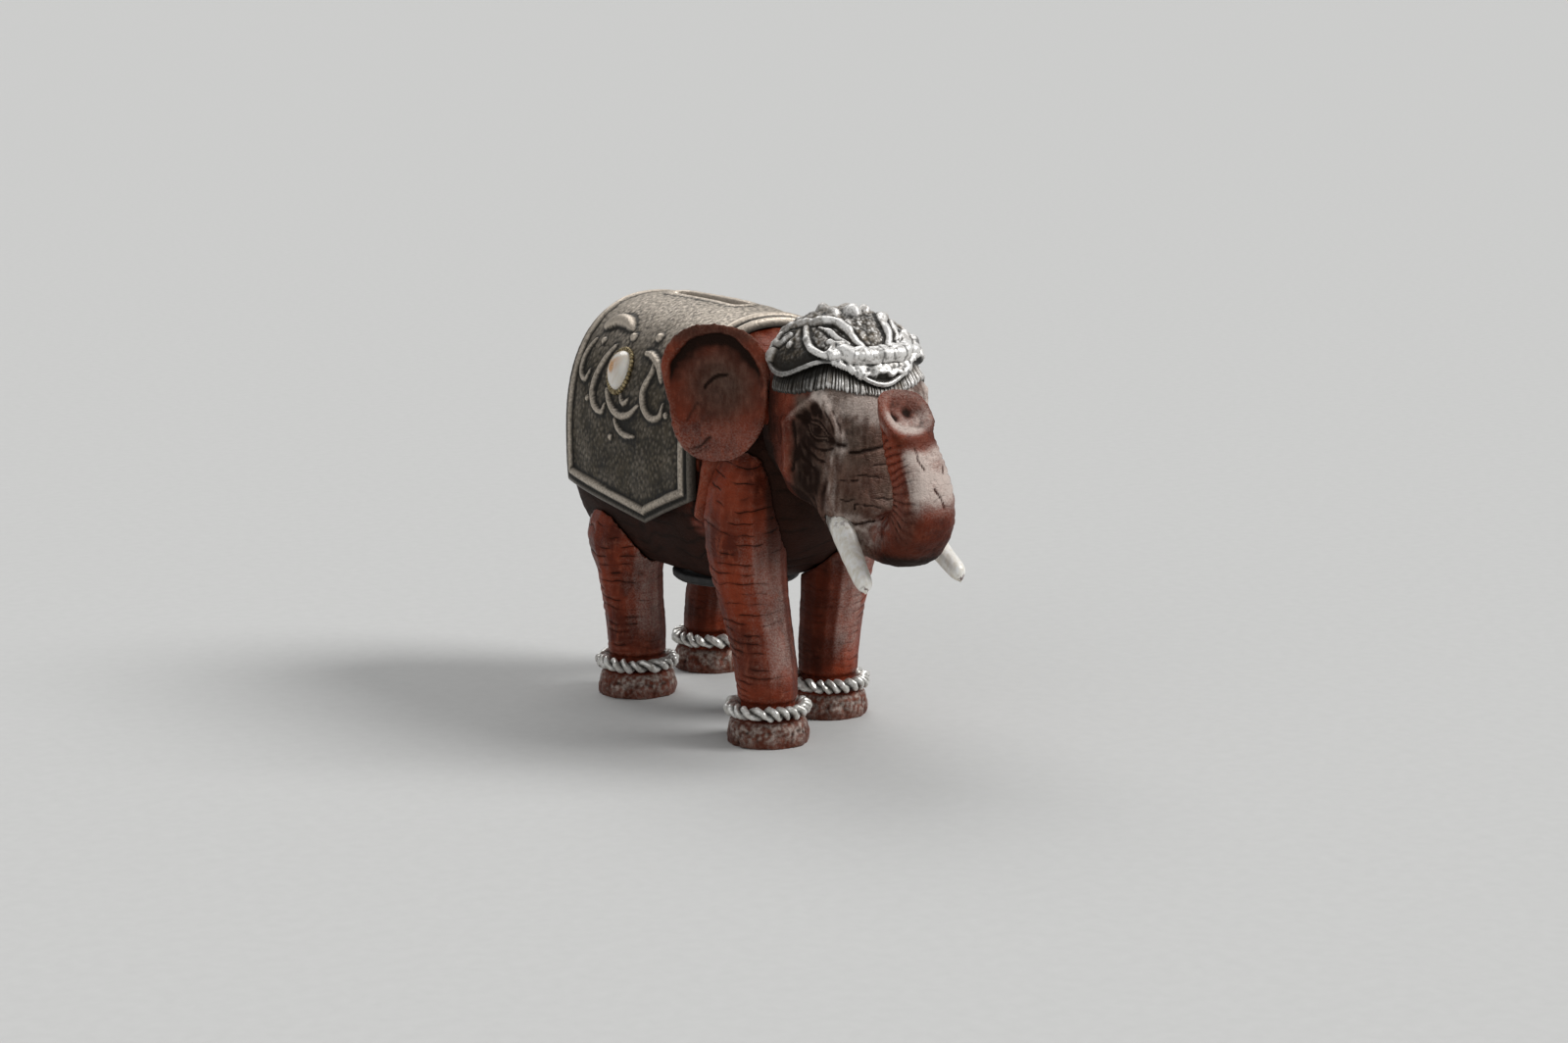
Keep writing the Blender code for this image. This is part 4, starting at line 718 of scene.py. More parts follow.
BODY_HALF_WIDTH, BODY_HALF_HEIGHT, BODY_HALF_LENGTH = 23.5, 33.0, 48.5
FRONT_FULLNESS, REAR_FULLNESS, UPPER_FULLNESS, LOWER_FULLNESS = 2.6, 4.0, 2.3, 3.0
CLOTH_FACE = 1.9
CLOTH_FRONT, CLOTH_REAR, CLOTH_STEP = -19.0, 42.0, 0.38
CLOTH_CORNERS = ((-19.0, 56.0), (1.0, 48.2), (42.0, 53.0))
SLOT_HALF_WIDTH, SLOT_HALF_LENGTH, SLOT_MIDDLE = 2.3, 16.5, 11.0
CLOTH_SCROLLS = (
    ([(21.8, 88.0), (24.2, 85.0), (26.4, 80.5), (27.0, 76.4), (25.0, 73.0), (21.4, 72.2), (20.0, 74.4)],
     1.0),
    ([(1.2, 87.4), (0.6, 84.0), (2.4, 79.6), (1.0, 75.8), (-2.6, 73.6), (-6.4, 74.4), (-7.2, 77.4)], 1.0),
    ([(20.0, 77.8), (18.2, 75.4), (15.2, 73.2), (11.2, 72.4), (7.2, 73.4), (4.0, 75.8)], 1.0),
    ([(13.0, 77.4), (11.8, 75.9), (10.4, 75.6), (9.0, 76.8)], 0.75),
    ([(14.6, 71.2), (12.6, 69.2), (9.2, 68.0), (4.6, 68.2)], 0.85),
    ([(6.4, 88.0), (2.6, 87.6), (-1.6, 85.6), (-4.4, 82.4)], 1.1),
    ([(31.2, 91.8), (27.4, 93.4), (22.6, 93.6), (18.4, 92.4)], 1.8),
    ([(-6.2, 90.0), (-9.8, 87.2), (-11.6, 83.2), (-10.4, 79.8), (-7.6, 80.6)], 0.85),
    ([(33.4, 88.4), (35.6, 84.6), (35.2, 80.4), (32.2, 78.8), (30.6, 81.4)], 0.85),
)
CLOTH_BOSSES = ((4.3, 91.8, 1.3), (15.7, 90.8, 1.2), (28.8, 88.6, 1.0), (-9.0, 75.0, 0.9), (29.4, 74.6, 0.9),
                (16.4, 66.6, 0.9), (-13.6, 91.4, 1.1))
# Painted highlights on raised spots: along, up and reach, in millimetres.
CLOTH_GLEAMS = ((23.5, 93.2, 6.0), (4.3, 91.8, 2.0), (15.7, 90.8, 1.8))


def round_body(y, angle, grow):
    """Places on the body's surface, grown outwards: angle 0 is its left side, a quarter turn its spine."""
    t = (y - BODY_MIDDLE_Y) / (BODY_HALF_LENGTH + grow)
    power = np.where(t < 0, FRONT_FULLNESS, REAR_FULLNESS)
    share = np.clip(1 - np.abs(t) ** power, 0, 1) ** (1 / power)
    bend = 2 / np.where(np.sin(angle) > 0, UPPER_FULLNESS, LOWER_FULLNESS)
    x = (BODY_HALF_WIDTH + grow) * share * np.sign(np.cos(angle)) * np.abs(np.cos(angle)) ** bend
    z = (BODY_HALF_HEIGHT + grow) * share * np.sign(np.sin(angle)) * np.abs(np.sin(angle)) ** bend
    return np.stack(np.broadcast_arrays(x, y, BODY_MIDDLE_Z + z), -1)


def body_angle(y, z, grow):
    """The angle at which the body's left side reaches a height."""
    half = round_body(np.float64(y), math.pi / 2, grow)[2] - BODY_MIDDLE_Z
    share = (z - BODY_MIDDLE_Z) / half
    fullness = UPPER_FULLNESS if share > 0 else LOWER_FULLNESS
    return math.asin(math.copysign(abs(share) ** (fullness / 2), share))


def solid_of(name, points, faces):
    """A smooth piece from points in millimetres and faces."""
    mesh = bpy.data.meshes.new(name)
    mesh.from_pydata([tuple(p) for p in points / 1000 + UNDER_BODY], [], faces)
    mesh.shade_smooth()
    return link_in(name, mesh)


def pebbles(points, size):
    """Rounded pebble tops over a surface, from 0 between them to about 1 on each."""
    nearest = np.array([noise.voronoi(place)[0][0] for place in points / size])
    return 1 - np.clip(nearest * 1.5, 0, 1) ** 2


def half_round(away, radius):
    return np.sqrt(np.clip(1 - (away / radius) ** 2, 0, 1))


def silver_marks(piece, painted_shade_and_wash=0.0, brush_and_painted_light=0.0, caught=1.0):
    """Marks that the silver paint follows: dark in hollows, bright where the brush met high spots, with the
    given painted shade and painted light added.
    """
    still = np.zeros(len(piece.data.vertices))
    fine, broad = stands_out(piece, 4), stands_out(piece, 30)
    hollow = np.clip(-fine / 0.06, 0, 1) + np.clip(-broad / 0.3, 0, 1)
    ridge = (fine - 0.01) / 0.06 + np.clip((broad - 0.05) / 0.3, 0, 1)
    mark(piece, "wash_and_shade", np.clip(hollow + painted_shade_and_wash, 0, 1))
    mark(piece, "on_ridge", np.clip(caught * ridge, 0, 1))
    mark(piece, "brush_and_painted_light", still + np.clip(brush_and_painted_light, 0, 1))


def old_silver(name, deep, ground, bright):
    """Silver paint brushed over a wash: the wash's two tones, and the tone where the brush has passed."""
    made, tree, shader = paint(name)
    clouds = grain_of(tree, 160.0, 4.0, 0.6)
    strokes = grain_of(tree, 1500.0, 3.0, 0.65)
    wash = mix(tree, ranged(tree, clouds, 0.35, 0.65), colour(*deep), colour(*ground))
    # The bright share takes the brushed high spots and the painted light given with them; the dark share
    # below takes the wash and the painted shade.
    brush_and_light_share = math_of(tree, "MULTIPLY_ADD", marked(tree, "brush_and_painted_light"), 0.85,
                      math_of(tree, "MULTIPLY", marked(tree, "on_ridge"), 0.75))
    brush_and_light_share = math_of(tree, "MULTIPLY", brush_and_light_share, ranged(tree, strokes, 0.34, 0.60, 0.40, 1.0))
    brush_and_light_share = wire(tree, "Clamp", brush_and_light_share)
    tone = mix(tree, brush_and_light_share, wash, colour(*bright))
    wash_and_shade_share = math_of(tree, "MULTIPLY", marked(tree, "wash_and_shade"), 0.92)
    tone = mix(tree, wash_and_shade_share, tone, colour(0.008, 0.007, 0.005))
    dull = ranged(tree, strokes, 0.3, 0.7, 0.33, 0.48)
    fill(tree, shader, {"Base Color": tone, "Metallic": ranged(tree, brush_and_light_share, 0.0, 1.0, 0.10, 0.55),
                        "Roughness": ranged(tree, brush_and_light_share, 0.0, 0.8, 0.62, dull),
                        "Specular IOR Level": 0.30})
    raise_bump(tree, shader, strokes, 0.00012, 0.7)
    return made


rows = np.linspace(CLOTH_FRONT, CLOTH_REAR, round((CLOTH_REAR - CLOTH_FRONT) / CLOTH_STEP) + 1)
edges = np.array(CLOTH_CORNERS)
columns = 312
grid, girth = np.empty((len(rows), columns, 3)), np.empty((len(rows), columns))
rim = []
for i, y in enumerate(rows):
    lowest = body_angle(y, np.interp(y, edges[:, 0], edges[:, 1]), 0.3)
    angles = np.linspace(lowest, math.pi - lowest, 900)
    places = round_body(y, angles, CLOTH_FACE)
    lengths = np.concatenate(([0.0], np.cumsum(np.linalg.norm(np.diff(places, axis=0), axis=1))))
    even = np.interp(np.linspace(0, lengths[-1], columns), lengths, angles)
    grid[i] = round_body(y, even, CLOTH_FACE)
    girth[i] = np.linspace(-lengths[-1] / 2, lengths[-1] / 2, columns)
    rim.append(round_body(y, even, 0.35))
rim = np.array(rim)
facing = np.cross(np.gradient(grid, axis=1), np.gradient(grid, axis=0))
facing /= np.linalg.norm(facing, axis=2, keepdims=True)
facing *= np.sign((facing * (grid - (0, BODY_MIDDLE_Y, BODY_MIDDLE_Z))).sum(2, keepdims=True))

half = columns // 2


def on_cloth(places):
    """Places of a side panel, given along and up, laid out flat as along and down from the spine."""
    flat = []
    for y, z in places:
        row = int(np.clip(round((y - CLOTH_FRONT) / CLOTH_STEP), 0, len(rows) - 1))
        flat.append((y, np.interp(-z, -grid[row, half:, 2], girth[row, half:])))
    return np.array(flat)


sheet = np.stack((np.repeat(rows[:, None], columns, 1), np.abs(girth)), 2).reshape(-1, 2)
surface = grid.reshape(-1, 3)
reach = np.repeat(girth[:, -1], columns)
along, down = sheet.T
from_hem = (reach - down) * np.where(along < 1.0, 0.93, 0.99)
inset = np.minimum(np.minimum(along - CLOTH_FRONT, CLOTH_REAR - along), from_hem)
raised = 0.95 * half_round(inset - 3.0, 1.15)
raised = np.maximum(raised, 0.55 * half_round(inset - 0.5, 0.75))
threads = 0.30 * np.abs(np.sin(along * 2.6 + 0.8 * mottle(surface, 3, 5))) * (from_hem < 2.2)
raised = np.maximum(raised, threads)
outline = np.zeros(len(sheet))
for path, radius in CLOTH_SCROLLS:
    away, share = from_path(sheet, flowing(on_cloth(path), 30))
    taper = radius * (0.45 + 0.55 * np.sin(np.pi * np.clip(share * 0.94 + 0.06, 0, 1)) ** 0.6)
    raised = np.maximum(raised, 1.05 * taper * half_round(away, taper))
    outline = np.maximum(outline, bell(away - taper - 0.4, 0.8))
for y, z, radius in CLOTH_BOSSES:
    away = np.linalg.norm(sheet - on_cloth([(y, z)])[0], axis=1)
    raised = np.maximum(raised, 0.9 * radius * half_round(away, radius))
gleam = np.zeros(len(sheet))
for y, z, reach_out in CLOTH_GLEAMS:
    gleam = np.maximum(gleam, np.linalg.norm(sheet - on_cloth([(y, z)])[0], axis=1) < reach_out)
slot_end = np.maximum(np.abs(surface[:, 1] - SLOT_MIDDLE) - (SLOT_HALF_LENGTH - SLOT_HALF_WIDTH), 0)
from_slot = np.hypot(surface[:, 0], slot_end) - SLOT_HALF_WIDTH
from_slot[surface[:, 2] < BODY_MIDDLE_Z] = 99.0
lip = 0.45 * half_round(from_slot - 0.9, 0.8)
plain = ramp(from_slot, 0.0, 1.6)
texture = 0.12 * pebbles(surface, 1.25) * ramp(inset, 2.0, 4.6) + 0.10 * mottle(surface, 3.2, 4)
lift = np.maximum(raised, lip) + texture * plain * (raised < 0.12) + 0.05 * mottle(surface, 0.9, 6)
surface = surface + facing.reshape(-1, 3) * lift[:, None]

index = np.arange(len(surface)).reshape(len(rows), columns)
quads = np.stack((index[:-1, :-1], index[1:, :-1], index[1:, 1:], index[:-1, 1:]), 2).reshape(-1, 4)
open_slot = from_slot[quads].mean(1) < 0
mouth = np.intersect1d(quads[open_slot].ravel(), quads[~open_slot].ravel())
outward = np.stack((surface[mouth, 0], np.sign(surface[mouth, 1] - SLOT_MIDDLE) * slot_end[mouth]), 1)
outward /= np.linalg.norm(outward, axis=1, keepdims=True)
surface[mouth, :2] -= outward * from_slot[mouth][:, None]
faces = quads[~open_slot].tolist()
around = np.concatenate((index[0], index[1:, -1], index[-1, -2::-1], index[-2:0:-1, 0]))
skirt = rim.reshape(-1, 3)[around]
first = len(surface)
turns = len(around)
faces += [[around[k], around[(k + 1) % turns], first + (k + 1) % turns, first + k] for k in range(turns)]
walls = {corner: first + turns + k for k, corner in enumerate(mouth)}
throat = surface[mouth] - (0, 0, 2.4)
open_quads = quads[open_slot].tolist()
slot_edges = dict.fromkeys(pair for quad in open_quads for pair in zip(quad, quad[1:] + quad[:1]))
for a, b in slot_edges:
    if (b, a) not in slot_edges and a in walls and b in walls:
        faces.append([a, b, walls[b], walls[a]])

cloth = solid_of("saddle_cloth_casting", np.concatenate((surface, skirt, throat)), faces)
extra = np.zeros(turns + len(mouth))
lower = np.concatenate((raised > 0.3, extra > 1))
# Painted light and shade: the upward-facing top is brushed brighter and loses most of the dark wash on the
# hem and scroll outlines, the edge face and the slot's throat are painted black as shade, and painted gleams
# lie on a few raised spots.
top_light = ramp(np.concatenate((facing.reshape(-1, 3)[:, 2], extra)), 0.25, 0.95)
patches = np.concatenate((np.clip(0.1 + 1.3 * mottle(grid.reshape(-1, 3), 6, 8), 0, 1), extra))
dark = np.maximum(0.85 * (inset < 1.9), 0.65 * outline * (raised < 0.2))
dark *= 1 - 0.8 * top_light[:len(surface)]
gleam = np.concatenate((gleam, extra))
silver_marks(cloth, painted_shade_and_wash=np.concatenate((dark, extra + 1.0)), caught=0.40,
             brush_and_painted_light=top_light + 0.34 * lower + 0.22 * patches + 0.7 * lower * gleam)
cloth_silver = old_silver("cloth_silver", (0.026, 0.020, 0.0115), (0.070, 0.054, 0.032), (0.60, 0.52, 0.43))
cloth.data.materials.append(cloth_silver)
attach(cloth, "bank")
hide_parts("saddle_cloth")


# Stones. A polished pearly resin oval on each side of the cloth, with an amber cloud in it, glued into a
# beaded brassy rim that is cast with the cloth.

STONE_Y, STONE_Z, STONE_HALF_WIDTH, STONE_HALF_HEIGHT, STONE_RISE = 15.7, 83.0, 4.5, 5.0, 2.8
STONE_RINGS, STONE_SIDES = 18, 64
RIM_WIRE, RIM_GAP, RIM_BEADS, RIM_STEPS, RIM_SIDES = 0.60, 0.45, 34, 240, 12

pearl, tree, shader = paint("pearly_stone")
veil = wire(tree, "TexNoise", own_places(tree), None, 190.0, 3.0, 0.5, None, None, None, 1.2)
amber = math_of(tree, "MULTIPLY", marked(tree, "amber"), ranged(tree, veil, 0.30, 0.55))
milk = mix(tree, ranged(tree, veil, 0.40, 0.65), colour(0.80, 0.77, 0.71), colour(0.70, 0.64, 0.55))
fill(tree, shader, {"Base Color": mix(tree, amber, milk, colour(0.64, 0.31, 0.09)),
                    "Roughness": ranged(tree, veil, 0.3, 0.7, 0.12, 0.22), "Coat Weight": 0.5,
                    "Subsurface Weight": 0.25, "Subsurface Radius": (0.0012, 0.0009, 0.0006)})

brass, tree, shader = paint("brassy_rim")
rub = grain_of(tree, 900.0, 4.0, 0.6)
tone = mix(tree, ranged(tree, rub, 0.35, 0.62), colour(0.15, 0.105, 0.045), colour(0.50, 0.40, 0.22))
tone = mix(tree, marked(tree, "wash_and_shade"), tone, colour(0.02, 0.015, 0.008))
fill(tree, shader, {"Base Color": tone, "Metallic": 0.75,
                    "Roughness": ranged(tree, rub, 0.3, 0.7, 0.30, 0.50)})

seat_angle = body_angle(STONE_Y, STONE_Z, CLOTH_FACE)
per_turn = np.linalg.norm(round_body(STONE_Y, seat_angle + 0.01, CLOTH_FACE)
                          - round_body(STONE_Y, seat_angle - 0.01, CLOTH_FACE)) / 0.02


def by_seat(along, up, out):
    """Places near a stone's seat on the left side of the cloth: along the body, up its side, and off it."""
    angle = seat_angle + np.asarray(up) / per_turn
    base = round_body(STONE_Y + np.asarray(along), angle, CLOTH_FACE)
    ahead = round_body(STONE_Y + np.asarray(along), angle, CLOTH_FACE + 1.0) - base
    return base + ahead / np.linalg.norm(ahead, axis=-1, keepdims=True) * np.asarray(out)[..., None]


def full_turn(count):
    return np.linspace(0, 2 * np.pi, count, endpoint=False)


def ring_faces(rings, sides, closed):
    """Quads between rings of points, and back to the first ring if closed."""
    last = rings if closed else rings - 1
    return [[i * sides + j, i * sides + (j + 1) % sides, (i + 1) % rings * sides + (j + 1) % sides,
             (i + 1) % rings * sides + j] for i in range(last) for j in range(sides)]


for side, hand in ((1, "left"), (-1, "right")):
    tilts = np.linspace(-0.25, np.pi / 2 - 0.02, STONE_RINGS)
    tilt, turn = np.meshgrid(tilts, full_turn(STONE_SIDES), indexing="ij")
    along = STONE_HALF_WIDTH * np.cos(tilt) * np.cos(turn)
    up = STONE_HALF_HEIGHT * np.cos(tilt) * np.sin(turn)
    dome = by_seat(along, up, STONE_RISE * np.sin(tilt)).reshape(-1, 3) * (side, 1, 1)
    faces = [face[::-side] for face in ring_faces(STONE_RINGS, STONE_SIDES, False)]
    faces.append([(STONE_RINGS - 1) * STONE_SIDES + k for k in range(STONE_SIDES)][::side])
    stone = solid_of(f"{hand}_stone_oval", dome, faces)
    from_cloud = np.hypot((dome[:, 1] - STONE_Y - 0.8) / 2.2, (dome[:, 2] - STONE_Z - 1.2) / 2.6)
    mark(stone, "amber", bell(from_cloud, 1.0))
    stone.data.materials.append(pearl)
    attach(stone, "bank")
    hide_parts(f"{hand}_stone")

    turn, around = np.meshgrid(full_turn(RIM_STEPS), full_turn(RIM_SIDES), indexing="ij")
    round_bead = np.abs(np.sin(turn * RIM_BEADS / 2))
    bead = RIM_WIRE * (0.72 + 0.34 * round_bead ** 0.6)
    wide = STONE_HALF_WIDTH + RIM_GAP + bead * np.cos(around)
    tall = STONE_HALF_HEIGHT + RIM_GAP + bead * np.cos(around)
    beads = by_seat(wide * np.cos(turn), tall * np.sin(turn), 0.35 + bead * np.sin(around))
    faces = [face[::side] for face in ring_faces(RIM_STEPS, RIM_SIDES, True)]
    rim_piece = solid_of(f"{hand}_stone_rim", beads.reshape(-1, 3) * (side, 1, 1), faces)
    mark(rim_piece, "wash_and_shade", np.clip(1.3 - 2.2 * round_bead, 0, 0.9).ravel())
    rim_piece.data.materials.append(brass)
    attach(rim_piece, "bank")


# Cap. A cast resin shell glued on the forehead: scrolls and a leaf fan stand up from a pebbled ground above
# a scalloped rim, and a band of combed fringe hangs below it. The silver is brushed brighter than
# the cloth's, and painted shade darkens its sides, the gap under the rim and the fringe's tops and sides.

CAP_GRAIN = 0.28
CAP_MIDDLE, CAP_ROUND = (0.0, -50.0, 80.0), 20.0
CAP_SCROLLS = (
    ([(142, 46), (122, 54), (100, 61), (76, 66), (53, 69), (36, 65), (27, 60), (22, 55), (15, 51)],
     1.10, 0.35),
    ([(84, 60), (78, 56), (70, 50), (62, 45), (52, 42), (44, 42), (37, 45), (39, 49)], 0.75, 0.45),
    ([(168, 54), (155, 51), (144, 55), (149, 62), (162, 63)], 1.00, 0.35),
    ([(96, 52), (103, 45), (113, 45), (117, 52), (110, 55)], 0.75, 0.9),
    ([(30, 52), (40, 55), (52, 60), (66, 62)], 0.60, 0.9),
)
CAP_LEAF = [(-58, 42), (-46, 44), (-37, 45), (-28, 40), (-14, 39), (0, 41), (14, 39), (28, 40), (37, 45)]
CAP_BOSSES = ((0, 83, 2.1, 0.2), (70, 79, 1.7, 0.2), (148, 76, 1.7, 0.2), (106, 37, 1.7, 0.8),
              (88, 46, 0.9, 0.8), (128, 62, 0.9, 0.8))


def cap_out(turn, height):
    """The way out from the cap's middle: degrees round from the front to the right, and degrees up."""
    turn, height = np.radians(turn), np.radians(height)
    return np.stack((-np.sin(turn) * np.cos(height), -np.cos(turn) * np.cos(height), np.sin(height)), -1)


def cap_rim(turn):
    """Height of the cap's scalloped rim at an angle round from the front."""
    return 87.2 + 5.0 * (1 - np.cos(4 * turn)) / 2 + 4.0 * (1 - np.cos(turn)) / 2


cap = evened("head_cap", "head_cap_casting", CAP_GRAIN, 16)
points = points_of(cap)
on_crown = ramp(points[:, 2], 95.5, 97.0)[:, None]
put_points(cap, points + 0.75 * on_crown * (drawn_in(cap, points, 40) - points))
points, normals = points_of(cap), normals_of(cap)
x, y, z = points.T
outward = points - np.array(CAP_MIDDLE)
outward /= np.linalg.norm(outward, axis=1, keepdims=True)
showing = ramp((normals * outward).sum(1), -0.1, 0.25)
mirrored = CAP_ROUND * outward * (-np.sign(outward[:, :1]) * (1, 0, 0) + (0, 1, 1))
raised, shine, outline = np.zeros((3, len(points)))
for path, radius, rise in CAP_SCROLLS:
    turns, heights = np.array(path, float).T
    away, share = from_path(mirrored, flowing(CAP_ROUND * cap_out(turns, heights), 36))
    taper = radius * (0.55 + 0.45 * np.sin(np.pi * np.clip(share * 0.9 + 0.08, 0, 1)) ** 0.6)
    form = half_round(away, taper)
    raised = np.maximum(raised, rise * taper * form)
    shine = np.maximum(shine, form)
    outline = np.maximum(outline, bell(away - taper - 0.35, 0.45))
for turn, height, radius, rise in CAP_BOSSES:
    form = half_round(np.linalg.norm(mirrored - CAP_ROUND * cap_out(turn, height), axis=1), radius)
    raised = np.maximum(raised, rise * radius * form)
    shine = np.maximum(shine, form)
turns, heights = np.array(CAP_LEAF, float).T
away, _ = from_path(CAP_ROUND * outward, flowing(CAP_ROUND * cap_out(turns, heights), 40))
ragged = mottle(points, 2.1, 7)
leaf = ramp(away + 1.5 * ragged, 3.7, 2.6)
lumps = leaf * (0.80 + 0.60 * mottle(points, 2.6, 6) + 0.14 * mottle(points, 0.9, 8))
turn = np.arctan2(x, CAP_MIDDLE[1] - y)
over_rim = z - cap_rim(turn)
band = 0.50 * half_round(over_rim - 0.5, 0.55)
gully = -0.40 * bell(over_rim - 1.55, 0.45)
plain = (shine < 0.1) * (1 - leaf)
ground = (0.16 * pebbles(points, 0.85) + 0.22 * mottle(points, 1.9, 3)) * plain * ramp(over_rim, 1.8, 3.0)
lift = np.maximum(np.maximum(raised, band), lumps) + ground + gully * plain
lift += 0.09 * mottle(points, 1.1, 5) - 0.30 * outline * plain
lift += 0.50 * ramp(z, 96.5, 98.0) * mottle(points, 2.0, 15)
put_points(cap, points + normals * (lift * showing)[:, None])
pits = leaf * ramp(mottle(points, 1.1, 9), -0.30, -0.46)
to_side = ramp(np.abs(turn), 0.80, 1.25)
crown = ramp(z, 94.5, 97.5)
fan = ramp(np.linalg.norm(mirrored - CAP_ROUND * cap_out(58, 54), axis=1) + ragged, 4.6, 3.4)
# Wash and painted shade: the ground is washed dark in patches and round the scrolls, and painted shade
# darkens both sides, the ground near the rim and the gap under it; the crown and the fan are kept lighter.
recess = plain * (0.10 + 0.65 * ramp(mottle(points, 4, 4), 0.15, -0.35) + 0.35 * to_side) * (over_rim > 1.2)
recess += (0.25 + 0.35 * to_side) * plain * ramp(over_rim, 4.5, 2.5) + 0.9 * ramp(over_rim, 0.1, -0.3)
recess = recess * (1 - 0.75 * crown) * (1 - 0.7 * fan) + 0.85 * outline * (shine < 0.05) * (1 - leaf)
speckle = np.clip(0.5 + 1.5 * mottle(points, 1.2, 14), 0, 1)
# Painted shade also dims the brushing, the rim band and the caught ridges on both sides.
brush_and_painted_light = 1.1 * shine * (1 - 0.70 * to_side) + 1.1 * leaf + 0.62 * speckle * np.maximum(fan, 0.75 * crown)
brush_and_painted_light = brush_and_painted_light * showing + 0.75 * (band > 0.15) * (1 - 0.6 * to_side)
silver_marks(cap, 0.9 * (1 - showing) + recess + 0.8 * pits, brush_and_painted_light, 0.9 - 0.5 * to_side)
cap_silver = old_silver("cap_silver", (0.042, 0.031, 0.019), (0.18, 0.135, 0.086), (0.88, 0.86, 0.83))
cap.data.materials.append(cap_silver)
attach(cap, "bank")
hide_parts("head_cap")

FRINGE_COLUMNS, FRINGE_ROWS = 520, 14
FRINGE_OUTSIDE, FRINGE_INSIDE = 21.0, 15.0
FRINGE_TURNS = np.radians(np.linspace(-104, 104, FRINGE_COLUMNS))
FRINGE_FOOT = np.interp(np.abs(FRINGE_TURNS), np.radians((0, 25, 45, 75, 104)),
                        (84.9, 86.0, 87.3, 85.2, 85.0))

skull = BVHTree.FromObject(head, bpy.context.evaluated_depsgraph_get())
frays = mottle(np.outer(FRINGE_TURNS, (30, 0, 0)), 1.0)
drifts = mottle(np.outer(FRINGE_TURNS, (6, 0, 0)), 1.0, 3)
hung, combed = [], []
for turn, foot, fray, drift in zip(FRINGE_TURNS, FRINGE_FOOT, frays, drifts):
    out = Vector((math.sin(turn), -math.cos(turn), 0))
    strand = abs(math.sin(turn * 52 + 1.4 * fray + 4.0 * drift)) ** 0.7
    for t in np.linspace(0, 1, FRINGE_ROWS):
        z = (foot + 0.55 * fray) * t + (cap_rim(turn) + 0.3) * (1 - t)
        start = placed(FRINGE_OUTSIDE * out.x, CAP_MIDDLE[1] + FRINGE_OUTSIDE * out.y, z)
        struck = skull.ray_cast(start, -out)[0]
        if struck is None:
            struck = placed(FRINGE_INSIDE * out.x, CAP_MIDDLE[1] + FRINGE_INSIDE * out.y, z)
        stand_off = (0.15 + 0.75 * strand) * min(1.0, 5 * (1 - t) + 0.25) * min(1.0, 0.3 + 2 * t) + 0.1
        hung.append((np.array(struck) - UNDER_BODY) * 1000 + np.array(out) * stand_off)
        combed.append(strand)
hung, combed = np.array(hung), np.array(combed)
corner = np.arange(len(hung)).reshape(FRINGE_COLUMNS, FRINGE_ROWS)
quads = np.stack((corner[:-1, :-1], corner[:-1, 1:], corner[1:, 1:], corner[1:, :-1]), 2)
fringe = solid_of("head_cap_fringe", hung, quads.reshape(-1, 4).tolist())
down = np.tile(np.linspace(0, 1, FRINGE_ROWS), FRINGE_COLUMNS)
to_side = np.repeat(ramp(np.degrees(np.abs(FRINGE_TURNS)), 40, 68), FRINGE_ROWS)
patchy = np.repeat(np.clip(0.75 + 0.9 * drifts, 0.15, 1.0), FRINGE_ROWS)
# Painted shade: strands are dark at their tops under the rim, at their ends and on both sides, and their
# brushing fades towards the sides; the gaps between strands hold the wash.
painted_shade_and_wash = ramp(down, 0.55, 0.30) + 0.9 * ramp(combed, 0.60, 0.20) + (1.0 - 0.2 * combed) * to_side
brush_and_painted_light = 0.95 * patchy * combed * ramp(down, 0.35, 0.6) * (1 - 0.9 * to_side)
silver_marks(fringe, painted_shade_and_wash + 0.7 * ramp(down, 0.90, 1.0), brush_and_painted_light, 0.5)
fringe.data.materials.append(cap_silver)
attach(fringe, "bank")


# Tusks. Two silvered resin pegs glued into sockets at the sides of the trunk. The paint has chipped at the
# rounded tips and shows dark red underneath. Painted shade darkens each peg towards its root.

TUSK_GRAIN = 0.26


def bright_silver(name, dull, bright, metallic):
    """Bright silver paint, from a dull to a bright tone along its strokes, chipped to dark red below."""
    made, tree, shader = paint(name)
    strokes = grain_of(tree, 800.0, 4.0, 0.6, (1.0, 1.0, 0.4))
    fleck = grain_of(tree, 1100.0, 2.0)
    tone = mix(tree, ranged(tree, strokes, 0.38, 0.66), colour(*dull), colour(*bright))
    # The dark share holds the wash in hollows and the painted shade given with it.
    wash_and_shade_share = math_of(tree, "MULTIPLY", marked(tree, "wash_and_shade"), 0.90)
    tone = mix(tree, wash_and_shade_share, tone, colour(0.030, 0.024, 0.018))
    chipped = math_of(tree, "MULTIPLY", ranged(tree, marked(tree, "chipped"), 0.15, 1.0, 0.0, 2.0),
                      ranged(tree, fleck, 0.56, 0.60))
    tone = mix(tree, wire(tree, "Clamp", chipped), tone, colour(0.07, 0.012, 0.014))
    fill(tree, shader, {"Base Color": tone, "Metallic": metallic,
                        "Roughness": ranged(tree, strokes, 0.3, 0.7, 0.42, 0.26)})
    raise_bump(tree, shader, strokes, 0.00012, 0.6)
    return made


